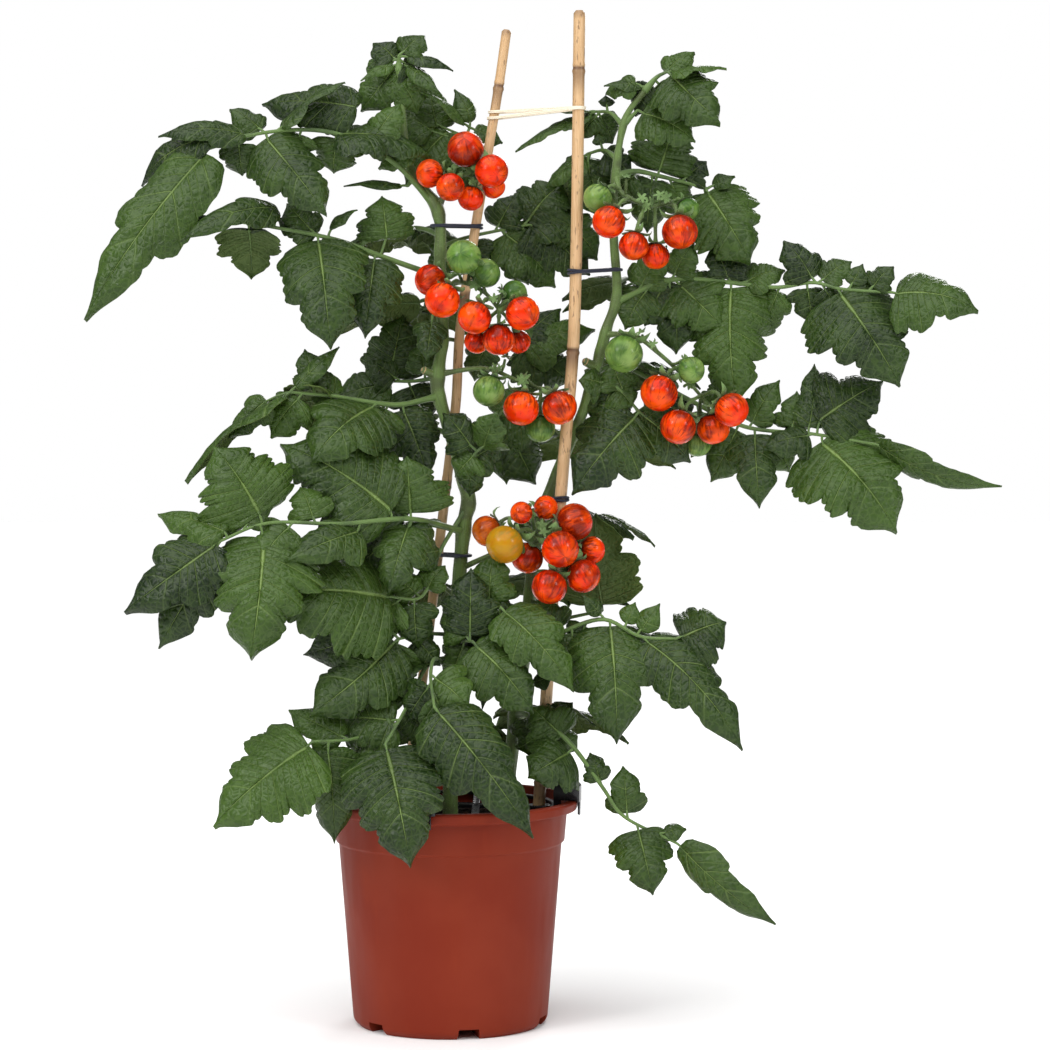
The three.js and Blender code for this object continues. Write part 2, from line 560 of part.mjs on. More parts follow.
function holderSolid(canePoints, caneRods) {
  const top = HOLDER_LEVEL + HOLDER_THICKNESS;
  const ring = new THREE.LatheGeometry([
    [HOLDER_RADIUS - HOLDER_WIDTH, HOLDER_LEVEL], [HOLDER_RADIUS, HOLDER_LEVEL], [HOLDER_RADIUS, top],
    [HOLDER_RADIUS - HOLDER_WIDTH, top], [HOLDER_RADIUS - HOLDER_WIDTH, HOLDER_LEVEL],
  ].map(([radius, height]) => new THREE.Vector2(radius, height)), ROUND_SIDES).rotateX(Math.PI / 2);
  const [left, right] = canePoints;
  const middle = (HOLDER_LEVEL + top) / 2;
  const heading = Math.atan2(right.y - left.y, right.x - left.x);
  const long = new THREE.BoxGeometry(2 * HOLDER_RADIUS - 6, 8, HOLDER_THICKNESS);
  long.rotateZ(heading).translate(0, left.y - left.x * Math.tan(heading), middle);
  const cross = new THREE.BoxGeometry(6, 2 * HOLDER_RADIUS - 9, HOLDER_THICKNESS);
  cross.translate(CROSS_BAR_X, 0, middle);
  const eyes = canePoints.map((point) => {
    const eye = new THREE.CylinderGeometry(HOLDER_EYE_RADIUS, HOLDER_EYE_RADIUS, HOLDER_THICKNESS, 10);
    return solidOf(eye.rotateX(Math.PI / 2).translate(point.x, point.y, middle));
  });
  const tabs = Array.from({ length: TAB_COUNT }, (_, index) => (
    tabSolid(THREE.MathUtils.degToRad(FIRST_TAB + (360 / TAB_COUNT) * index))
  ));
  return joined([solidOf(ring), solidOf(long), solidOf(cross), ...eyes, ...tabs])
    .subtract(wasm.Manifold.union(caneRods));
}

// A cane is a little thicker at its nodes and tapers slightly to the top
function caneForm(cane) {
  const radiusAt = (along) => {
    const atNode = cane.nodes.some((node) => Math.abs(along - node) < 0.5 / CANE_STEPS);
    return cane.radius * (1.03 - 0.06 * along) + (atNode ? 0.7 : 0);
  };
  return { line: smoothed(cane.way.map(seen), CANE_STEPS), radiusAt, sides: 8 };
}

function stemForm(stem) {
  return { line: stem.way.map(seen), radiusAt: blended(stem.radii), sides: 7 };
}

function rodSolid({ line, radiusAt, sides }, extra) {
  return limb(line, (along) => radiusAt(along) + extra, sides);
}

// The middle of a rod at a height, and its radius at the thicker of the two rings next to it
function sectionAt({ line, radiusAt }, height) {
  const above = line.findIndex((point) => point.z >= height);
  const radii = [above - 1, above].map((index) => radiusAt(index / (line.length - 1)));
  return { centre: pointAtHeight(line, height), radius: Math.max(...radii) };
}

// Half the outline of a leaflet, from base to tip, as [place along the midrib, share of the half
// width]: lobes that point forward, with a notch after each
function halfOutline(lobes, depthOfCut, seed) {
  const envelope = (along) => Math.min(1, 0.72 + 1.6 * along) * Math.min(1, ((1 - along) / 0.78) ** 0.9);
  const outline = [];
  for (let lobe = 0; lobe < lobes; lobe += 1) {
    const start = 0.02 + (0.84 * lobe) / lobes;
    const pitch = 0.84 / lobes;
    const reach = 1.06 - 0.14 * chance(seed + lobe);
    outline.push([start + 0.34 * pitch, envelope(start + 0.2 * pitch) * reach]);
    if (lobe < lobes - 1) {
      outline.push([start + 0.86 * pitch, envelope(start + pitch) * (1 - depthOfCut)]);
    }
  }
  return outline;
}

// One leaflet: a thin blade, arched along its midrib and sagging and waving to its edges. Its neck
// starts at the root, inside the stalk, and its blade at the base.
function leafletSolid({ root, base, tip, width, facing, seed }) {
  const axis = tip.clone().sub(base);
  const length = axis.length();
  const along = axis.clone().normalize();
  const normal = facing.clone().addScaledVector(along, -facing.dot(along)).normalize();
  const side = new THREE.Vector3().crossVectors(along, normal);
  const arch = 0.06 + 0.08 * chance(seed + 11);
  const sag = 0.1 + 0.3 * chance(seed + 12);
  const wave = (0.08 + 0.1 * chance(seed + 13)) * width * 0.5;
  const phase = 6 * chance(seed + 15);
  const depthOfCut = 0.2 + 0.16 * chance(seed + 14);
  const lobes = lobesFor(width);
  const surface = (place, share) => {
    const height = length * arch * 4 * place * (1 - place) - sag * share * share * width * 0.5
      + wave * Math.abs(share) * Math.sin(9 * place + phase + Math.sign(share));
    return base.clone().addScaledVector(axis, place).addScaledVector(side, (share * width) / 2)
      .addScaledVector(normal, height);
  };
  const across = new THREE.Vector3().crossVectors(base.clone().sub(root).normalize().add(along), normal);
  const edge = (sign) => [
    base.clone().add(across.clone().setLength(sign * NECK_WIDTH * 0.5)),
    ...halfOutline(lobes, depthOfCut, seed + 20 * (sign + 2)).map(([place, share]) => (
      surface(place, sign * share)
    )),
  ];
  const ribs = ribsFor(lobes);
  const midrib = Array.from({ length: ribs }, (_, rib) => surface((rib + 1) / (ribs + 1), 0));
  return bladeSolid({ root, tip, midrib, left: edge(-1), right: edge(1) }, normal);
}

// Wide leaflets have more lobes, and a finer midrib
function lobesFor(width) {
  if (width >= 64 * BREADTH) return 4;
  if (width >= 40 * BREADTH) return 3;
  return width >= 20 * BREADTH ? 2 : 1;
}

function ribsFor(lobes) {
  return Math.max(1, lobes - 1);
}

// A blade from its root, through a neck, to its tip, with a row of points on its midrib and one on each
// edge
function bladeSolid({ root, tip, midrib, left, right }, normal) {
  const points = [root, ...midrib, tip, ...left, ...right];
  const firstRib = 1;
  const tipIndex = midrib.length + 1;
  const leftStart = tipIndex + 1;
  const rightStart = leftStart + left.length;
  const ribLine = Array.from({ length: midrib.length + 1 }, (_, index) => firstRib + index);
  const leftLine = [...left.map((_, index) => leftStart + index), tipIndex];
  const rightLine = [...right.map((_, index) => rightStart + index), tipIndex];
  const face = [
    [0, rightStart, leftStart],
    [leftStart, rightStart, firstRib],
    ...stripBetween(points, ribLine, leftLine).map(([a, b, c]) => [a, c, b]),
    ...stripBetween(points, ribLine, rightLine),
  ];
  const rim = [0, ...rightLine, ...leftLine.slice(0, -1).reverse()];
  return plateSolid(points, face, rim, normal);
}

// Gives a face its thickness: the same triangles above and below, and a wall along the rim
function plateSolid(points, face, rim, normal) {
  const under = points.length;
  const triangles = [];
  face.forEach(([a, b, c]) => triangles.push(a, b, c, under + a, under + c, under + b));
  rim.forEach((a, index) => {
    const b = rim[(index + 1) % rim.length];
    triangles.push(a, under + b, b, a, under + a, under + b);
  });
  const position = [];
  [0.5, -0.5].forEach((half) => points.forEach((point) => {
    const shifted = point.clone().addScaledVector(normal, half * BLADE_THICKNESS);
    position.push(shifted.x, shifted.y, shifted.z);
  }));
  const geometry = new THREE.BufferGeometry();
  geometry.setAttribute("position", new THREE.Float32BufferAttribute(position, 3));
  geometry.setIndex(triangles);
  return solidOf(geometry);
}

// Triangles between the midrib and an edge that meet at the tip, moving on along whichever of them lags
// behind
function stripBetween(points, ribLine, edgeLine) {
  const shares = (line) => {
    const lengths = [0];
    line.slice(1).forEach((place, index) => {
      lengths.push(lengths[index] + points[place].distanceTo(points[line[index]]));
    });
    return lengths.map((length) => length / lengths[lengths.length - 1]);
  };
  const ribShares = shares(ribLine);
  const edgeShares = shares(edgeLine);
  const triangles = [];
  let rib = 0;
  let rim = 0;
  while (rib < ribLine.length - 1 || rim < edgeLine.length - 1) {
    const moveRim = (edgeShares[rim + 1] ?? Infinity) <= (ribShares[rib + 1] ?? Infinity);
    const next = moveRim ? edgeLine[rim + 1] : ribLine[rib + 1];
    if (next !== edgeLine[rim] && next !== ribLine[rib]) {
      triangles.push([ribLine[rib], edgeLine[rim], next]);
    }
    if (moveRim) rim += 1;
    else rib += 1;
  }
  return triangles;
}

function facingFor(turn) {
  const angle = THREE.MathUtils.degToRad(turn);
  return UP.clone().multiplyScalar(Math.cos(angle)).addScaledVector(TO_FRONT, Math.sin(angle));
}

function leafPieces(leaf, stemLine, leafNumber) {
  const start = pointAtHeight(stemLine, leaf.from);
  const line = smoothed([start, ...leaf.stalk.map(seen)], leaf.stalk.length + 1);
  const thick = leaf.leaflets.length > 3 ? 3 : 2.3;
  const pieces = [limb(line, (along) => THREE.MathUtils.lerp(thick, 1.6, along), 3)];
  leaf.leaflets.forEach(([baseX, baseZ, tipX, tipZ, width, reach, turn], index) => {
    const shown = seen([baseX, baseZ, 0]);
    const depth = nearestInView(line, shown);
    const base = seen([baseX, baseZ, depth]);
    const tip = seen([tipX, tipZ, depth + reach]);
    const root = nearestOn(line, base);
    if (root.distanceTo(base) < NECK_LENGTH) base.copy(tip).sub(root).setLength(NECK_LENGTH).add(root);
    root.add(root.clone().sub(base).setLength(ROOT_DEPTH));
    const seed = 40 * leafNumber + index;
    pieces.push(leafletSolid({
      root, base, tip, width: width * BREADTH, facing: facingFor(turn), seed,
    }));
  });
  return pieces;
}

// The depth of the stalk where it shows nearest to a place in the view
function nearestInView(line, shown) {
  const inView = line.map((point) => {
    const scale = -VIEW_POINT.y / (point.y - VIEW_POINT.y);
    return point.clone().sub(VIEW_POINT).multiplyScalar(scale).add(VIEW_POINT);
  });
  const nearest = nearestOn(inView, shown);
  const index = inView.findIndex((end, place) => (
    place > 0 && Math.abs(nearest.distanceTo(inView[place - 1]) + nearest.distanceTo(end)
      - end.distanceTo(inView[place - 1])) < 1e-3
  ));
  const share = nearest.distanceTo(inView[index - 1]) / inView[index].distanceTo(inView[index - 1]);
  return THREE.MathUtils.lerp(line[index - 1].y, line[index].y, share);
}

// A far leaf is one arched blade, cut to its rib between the leaflets
function farLeafSolid([, height, compass, length], stemLine, seed) {
  const start = pointAtHeight(stemLine, height);
  const angle = THREE.MathUtils.degToRad(compass);
  const outward = new THREE.Vector3(Math.cos(angle), Math.sin(angle), 0);
  const across = new THREE.Vector3(-outward.y, outward.x, 0);
  const normal = UP.clone().addScaledVector(outward, 0.5).normalize();
  const leftHalf = farHalfOutline(seed + 30).slice(0, -1).reverse();
  const outline = [
    ...farHalfOutline(seed).map(([place, wide]) => new THREE.Vector2(place, wide)),
    ...leftHalf.map(([place, wide]) => new THREE.Vector2(place, -wide)),
  ];
  const points = outline.map(({ x: place, y: wide }) => {
    const rise = length * (FAR_RISE * place - FAR_FALL * place * place);
    return start.clone().addScaledVector(outward, length * place).addScaledVector(across, wide * FAR_WIDTH)
      .addScaledVector(UP, rise - FAR_SAG * FAR_WIDTH * wide * wide);
  });
  const face = THREE.ShapeUtils.triangulateShape(outline.map((point) => (
    new THREE.Vector2(point.x * length, point.y * FAR_WIDTH)
  )), []);
  const isForward = THREE.ShapeUtils.area(outline) > 0;
  const rim = outline.map((_, index) => index);
  return plateSolid(points, face, isForward ? rim : rim.reverse(), normal);
}

// One side of a far leaf's outline, from the stem to the tip, as [place along the rib, share of the
// width]
function farHalfOutline(seed) {
  const outline = [[0, 0.035]];
  FAR_LEAFLETS.forEach(([place, wide], index) => {
    const reach = wide * (0.85 + 0.3 * chance(seed + index));
    outline.push([place - 0.05, 0.035], [place - 0.03, 0.6 * reach]);
    outline.push([place + 0.1, reach], [place + 0.07, 0.035]);
  });
  return [...outline, [0.78, 0.42], [0.87, 0.3], [1, 0]];
}

// Fruits hang in front to back order: each lies at its truss's depth, or behind the fruits that it
// would touch
function hangFruits(truss) {
  const hung = [];
  truss.fruits.forEach(([x, z, radius, ripeness]) => {
    let depth = truss.depth;
    hung.forEach((other) => {
      const apart = Math.hypot(x - other.x, z - other.z);
      const needed = 1.03 * (radius + other.radius) + 2 * CLEARANCE;
      if (apart < needed) depth = Math.max(depth, other.depth + Math.sqrt(needed ** 2 - apart ** 2));
    });
    hung.push({ x, z, radius, ripeness, depth, centre: seen([x, z, depth]) });
  });
  return hung;
}

function crownOf(fruit, stalkLine) {
  const towards = nearestOn(stalkLine, fruit.centre).sub(fruit.centre);
  return towards.normalize().addScaledVector(UP, 0.5).normalize();
}

function turned(geometry, direction, place) {
  const turn = new THREE.Quaternion().setFromUnitVectors(new THREE.Vector3(0, 1, 0), direction);
  return geometry.applyQuaternion(turn).translate(place.x, place.y, place.z);
}

// A cherry tomato: round, a little flat, with a shallow dimple at its crown
function fruitSolid(fruit, crown) {
  const outline = [[0, -0.98], [0.82, -0.66], [1.03, 0.04], [0.74, 0.74], [0, 0.92]];
  const profile = outline.map(([across, up]) => (
    new THREE.Vector2(across * fruit.radius, up * fruit.radius)
  ));
  return solidOf(turned(new THREE.LatheGeometry(profile, 8), crown, fruit.centre));
}

// The calyx is a star of pointed sepals over the crown, and its stalk runs from between them into the
// truss's
function calyxSolid(fruit, crown, stalkLine) {
  const bottom = 0.92 * fruit.radius + CLEARANCE;
  const foot = fruit.centre.clone().addScaledVector(crown, bottom);
  const end = nearestOn(stalkLine, foot);
  end.add(end.clone().sub(foot).setLength(1.2));
  const toWorld = new THREE.Quaternion().setFromUnitVectors(new THREE.Vector3(0, 1, 0), crown);
  const points = [foot, end];
  for (let corner = 0; corner < 2 * SEPALS; corner += 1) {
    const angle = (Math.PI * corner) / SEPALS;
    const isTip = corner % 2 === 0;
    const reach = isTip ? 0.62 * fruit.radius : PEDICEL_RADIUS;
    const rise = isTip ? 0.04 * fruit.radius : 1.3;
    const place = new THREE.Vector3(reach * Math.cos(angle), rise, reach * Math.sin(angle));
    points.push(place.applyQuaternion(toWorld).add(foot));
  }
  const triangles = [];
  for (let sepal = 0; sepal < SEPALS; sepal += 1) {
    const tip = 2 + 2 * sepal;
    const after = tip + 1;
    const before = 2 + ((2 * sepal + 2 * SEPALS - 1) % (2 * SEPALS));
    triangles.push(before, after, tip, 1, after, before, 0, before, tip, 0, tip, after);
  }
  const geometry = new THREE.BufferGeometry();
  geometry.setAttribute("position", new THREE.Float32BufferAttribute(points.flatMap((p) => [...p]), 3));
  geometry.setIndex(triangles);
  return solidOf(geometry);
}

function addPotAndCanes(canes, stems) {
  const caneRods = canes.map((cane) => rodSolid(cane, CLEARANCE));
  const stemRods = stems.map((stem) => rodSolid(stem, CLEARANCE));
  addPiece("pot", potSolid(), "pot");
  addPiece("soil", soilSolid([...caneRods, ...stemRods]), "soil");
  const canePoints = canes.map((cane) => pointAtHeight(cane.line, HOLDER_LEVEL));
  addPiece("cane_holder", holderSolid(canePoints, caneRods), "holder");
  canes.forEach((cane, index) => addPiece(`cane_${SIDES[index]}`, rodSolid(cane, 0), "cane"));
}

function addBandAndTies(canes, stems) {
  const strands = BAND_HEIGHTS.map((heights) => {
    const [first, second] = canes.map((cane, index) => sectionAt(cane, heights[index]));
    return cordLoop(loopRound(first, second, STRAND_RADIUS), STRAND_RADIUS);
  });
  addPiece("elastic_band", joined(strands), "band");
  TIES.forEach(({ name, side, height, tilt }) => {
    const index = SIDES.indexOf(side);
    const [first, second] = [sectionAt(canes[index], height), sectionAt(stems[index], height + tilt)]
      .sort((one, other) => one.centre.x - other.centre.x);
    addPiece(name, cordLoop(loopRound(first, second, TIE_RADIUS), TIE_RADIUS), "tie");
  });
}

function addPlant(side, stem) {
  const { line } = stem;
  const pieces = [rodSolid(stem, 0)];
  LEAVES.forEach((leaf, index) => {
    if (leaf.stem === side) pieces.push(...leafPieces(leaf, line, index + 1));
  });
  FAR_LEAVES.forEach((leaf, index) => {
    if (leaf[0] === side) pieces.push(farLeafSolid(leaf, line, 3000 + 50 * index));
  });
  TRUSSES.filter((truss) => truss.stem === side).forEach((truss) => {
    const root = pointAtHeight(line, truss.from);
    const stalk = smoothed([root, ...truss.stalk.map(seen)], truss.stalk.length + 2);
    pieces.push(limb(stalk, (along) => THREE.MathUtils.lerp(2.2, 1.7, along), 4));
    hangFruits(truss).forEach((fruit, index) => {
      const crown = crownOf(fruit, stalk);
      addPiece(`tomato_${truss.name}_${index + 1}`, fruitSolid(fruit, crown), fruit.ripeness);
      pieces.push(calyxSolid(fruit, crown, stalk));
    });
  });
  addPiece(`leafy_stem_${side}`, joined(pieces), "foliage");
}

const canes = SIDES.map((side) => caneForm(CANES[side]));
const stems = SIDES.map((side) => stemForm(STEMS[side]));
addPotAndCanes(canes, stems);
addBandAndTies(canes, stems);
SIDES.forEach((side, index) => addPlant(side, stems[index]));

export default group;
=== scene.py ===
"""A tomato plant in a nursery pot: two leafy stems tied to bamboo canes, with trusses of cherry tomatoes.

Lengths in the plans and the classes are millimetres, and meshes are made in metres. The front is towards -Y.
"""
import logging
import math
from collections.abc import Sequence
from dataclasses import dataclass, field
from enum import Enum, IntEnum
from typing import NamedTuple

import bmesh
import bpy
import numpy as np
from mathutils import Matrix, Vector


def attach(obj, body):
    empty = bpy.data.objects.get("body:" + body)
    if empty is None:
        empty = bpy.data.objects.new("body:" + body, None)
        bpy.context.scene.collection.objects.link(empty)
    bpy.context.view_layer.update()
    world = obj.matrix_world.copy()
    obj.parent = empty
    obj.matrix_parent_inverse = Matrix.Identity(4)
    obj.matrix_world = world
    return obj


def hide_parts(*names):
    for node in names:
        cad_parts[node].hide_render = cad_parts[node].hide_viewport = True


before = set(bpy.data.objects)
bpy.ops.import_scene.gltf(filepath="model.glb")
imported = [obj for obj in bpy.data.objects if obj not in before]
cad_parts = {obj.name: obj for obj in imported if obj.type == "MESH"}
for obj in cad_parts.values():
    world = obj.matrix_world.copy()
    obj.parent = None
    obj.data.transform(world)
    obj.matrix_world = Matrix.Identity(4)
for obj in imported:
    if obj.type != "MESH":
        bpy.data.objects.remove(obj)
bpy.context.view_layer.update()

Array = np.ndarray
Colour = tuple[float, float, float, float]
Material = bpy.types.Material
Piece = bpy.types.Object
Socket = bpy.types.NodeSocket

LOG = logging.getLogger("tomato_plant")
MM = 0.001
BODY = "root"
UP = np.array((0.0, 0.0, 1.0))
LEVEL = (1.0, 1.0, 0.0)
TO_FRONT = np.array((0.0, -1.0, 0.0))


class Ripeness(Enum):
    """How far a tomato has ripened."""

    GREEN = "green"
    ORANGE = "orange"
    YELLOW = "yellow"
    RIPE = "ripe"


GREEN, ORANGE, YELLOW, RIPE = Ripeness.GREEN, Ripeness.ORANGE, Ripeness.YELLOW, Ripeness.RIPE


class LeafPlan(NamedTuple):
    """A compound leaf: its stem, the height of its root, its stalk's way and its leaflets.

    A leaflet is (base x, base z, tip x, tip z, width, y of the tip from its base, turn). At turn 0 its upper
    face looks up, at 90 it looks to the front, and a turn below 0 shows the underside.
    """

    name: str
    side: str
    root: float
    stalk: tuple
    leaflets: tuple


class FarPlan(NamedTuple):
    """A leaf on the far side: its stem, the height of its root, its compass angle from +X and its length."""

    side: str
    root: float
    compass: float
    length: float


class TrussPlan(NamedTuple):
    """A truss of fruits: its stem, the height of its root, the depth of the fruits in front, its stalk's way
    and its fruits from front to back as (x, z, radius, ripeness)."""

    name: str
    side: str
    root: float
    depth: float
    stalk: tuple
    fruits: tuple


class CanePlan(NamedTuple):
    """A bamboo cane: its radius, its joints as shares of its length, and its way."""

    radius: float
    joints: tuple
    way: tuple


class StemPlan(NamedTuple):
    """A main stem: its radii evenly along it, its cut stubs and its way.

    A stub is (height, compass angle, length, radius).
    """

    radii: tuple
    stubs: tuple
    way: tuple


class TiePlan(NamedTuple):
    """A tie: its stem, its height at the cane and how much higher it sits at the stem."""

    name: str
    side: str
    height: float
    rise: float


# The plant is set out as it shows from the front. A place is (x, z, y): x and z where it shows in the
# upright plane through the pot's axis, seen from the camera, and y how far it lies behind that plane.
CAMERA_PLACE = (61.0, -2600.0, 528.0)
CAMERA_AIM = (61.0, 0.0, 407.0)
HALF_VIEW = 427.5
VIEW_POINT = np.array(CAMERA_PLACE)

CANES = {
    "left": CanePlan(4.0, (0.27, 0.52, 0.72, 0.94), (
        (-53, 40, 6), (-38, 173, 6), (-20, 300, 7), (-2, 448, 7), (5, 508, 7), (8, 563, 7), (19.5, 640, 6.5),
        (30, 703, 6), (40, 764, 6), (46, 806, 5))),
    "right": CanePlan(4.9, (0.2, 0.42, 0.65, 0.94), (
        (62, 40, -6), (72, 173, -6), (79, 275, -6), (83, 339, -6), (90, 428, -6), (94, 477, -6),
        (100, 549, -6), (102.6, 630, -6), (104, 730, -6), (105, 821, -6))),
}
STEMS = {
    "left": StemPlan((6.4, 6.4, 5.8, 5, 4.5, 2.6), (
        (527, 205, 10, 3.0), (372, 342, 24, 2.0), (236, 160, 9, 3.2)), (
        (2, 128, -16), (0, 173, -15), (2, 240, -11), (4, 313, -8), (12, 411, -6), (15, 427, -6),
        (-3, 492, -8), (-10, 518, -9), (-6, 560, -9), (-8, 613, -9), (-10, 663, -8), (-32, 696, 0),
        (-41, 777, 2))),
    "right": StemPlan((6, 6, 5.2, 4.5, 3.7, 2.2), (
        (535, 214, 8, 3.4), (414, 60, 10, 2.6)), (
        (43, 128, 22), (45, 173, 22), (60, 303, 18), (72, 403, 12), (85, 444, 10), (110, 504, 5),
        (119, 535, 4), (128, 569, 4), (135, 590, 4), (133, 643, 4), (134, 687, 4), (143, 738, 4),
        (160, 761, 4))),
}
TIES = (
    TiePlan("tie_left_high", "left", 649, 0), TiePlan("tie_left_low", "left", 382, 0),
    TiePlan("tie_right_high", "right", 612, 2), TiePlan("tie_right_low", "right", 428, 0),
)
# The heights of the elastic band's two strands at the left and the right cane
BAND_HEIGHTS = ((737.0, 744.0), (742.0, 744.5))
# The height at which the canes pass the holder
HOLDER_HEIGHT = 177.5

TRUSSES = (
    TrussPlan("top_left", "left", 664, -31, (
        (2, 684, -10), (14, 692, -10), (26, 688, -10)), (
        (34, 694, 13.5, RIPE), (12.8, 711.6, 14.8, RIPE), (0.6, 681, 11.5, RIPE), (-16.2, 692, 11.6, RIPE),
        (17, 672, 10.5, RIPE), (35.7, 681, 9.5, RIPE))),
    TrussPlan("second_left", "left", 598, -50, (
        (10, 604, -24), (28, 596, -32), (40, 582, -32)), (
        (-6, 589.6, 14.3, RIPE), (20, 575.5, 13.5, RIPE), (59, 579, 13.8, RIPE), (39.6, 557.7, 13.2, RIPE),
        (-15.8, 605.8, 12.9, RIPE), (11.3, 624.5, 14, GREEN), (29.3, 611.6, 12, GREEN),
        (52.5, 594.8, 11, GREEN), (21.6, 556, 10, RIPE), (55.7, 556, 10, RIPE))),
    TrussPlan("centre", "left", 530, -31, (
        (30, 534, -16), (60, 522, -18), (74, 518, -18)), (
        (57.9, 502, 14.5, RIPE), (89, 502.5, 14.3, RIPE), (31.6, 516, 13, GREEN), (73, 486, 12.5, GREEN))),
    TrussPlan("upper_right", "right", 690, -34, (
        (140, 676, -8), (165, 666, -14), (182, 670, -14)), (
        (129, 653, 13.5, RIPE), (149, 633.5, 12, RIPE), (167, 625.4, 11.3, RIPE), (186.6, 645, 14.5, RIPE),
        (193, 663, 9.5, GREEN), (120, 672, 12, GREEN))),
    TrussPlan("lower_right", "right", 562, -32, (
        (150, 561, -12), (168, 548, -16), (190, 528, -16), (204, 512, -14)), (
        (141.3, 546, 15.5, GREEN), (170, 514.4, 15.2, RIPE), (185.5, 487, 14.6, RIPE),
        (229, 500.6, 14, RIPE), (214, 485.6, 13.6, RIPE), (201.3, 473, 11, GREEN), (196, 533, 11, GREEN))),
    TrussPlan("bottom", "right", 421, -44, (
        (68, 412, -6), (70, 400, -20), (82, 388, -24), (96, 376, -22)), (
        (89.8, 387.2, 15, RIPE), (101.6, 409.5, 15.2, RIPE), (80.7, 356.5, 14.3, RIPE),
        (44.4, 391.2, 15.5, YELLOW), (62.7, 380.3, 13.2, RIPE), (30.2, 402, 12.8, ORANGE),
        (108.5, 365.4, 14, RIPE), (115.5, 386.5, 11.2, RIPE), (78, 421, 10, RIPE), (58, 417, 9, RIPE))),
)
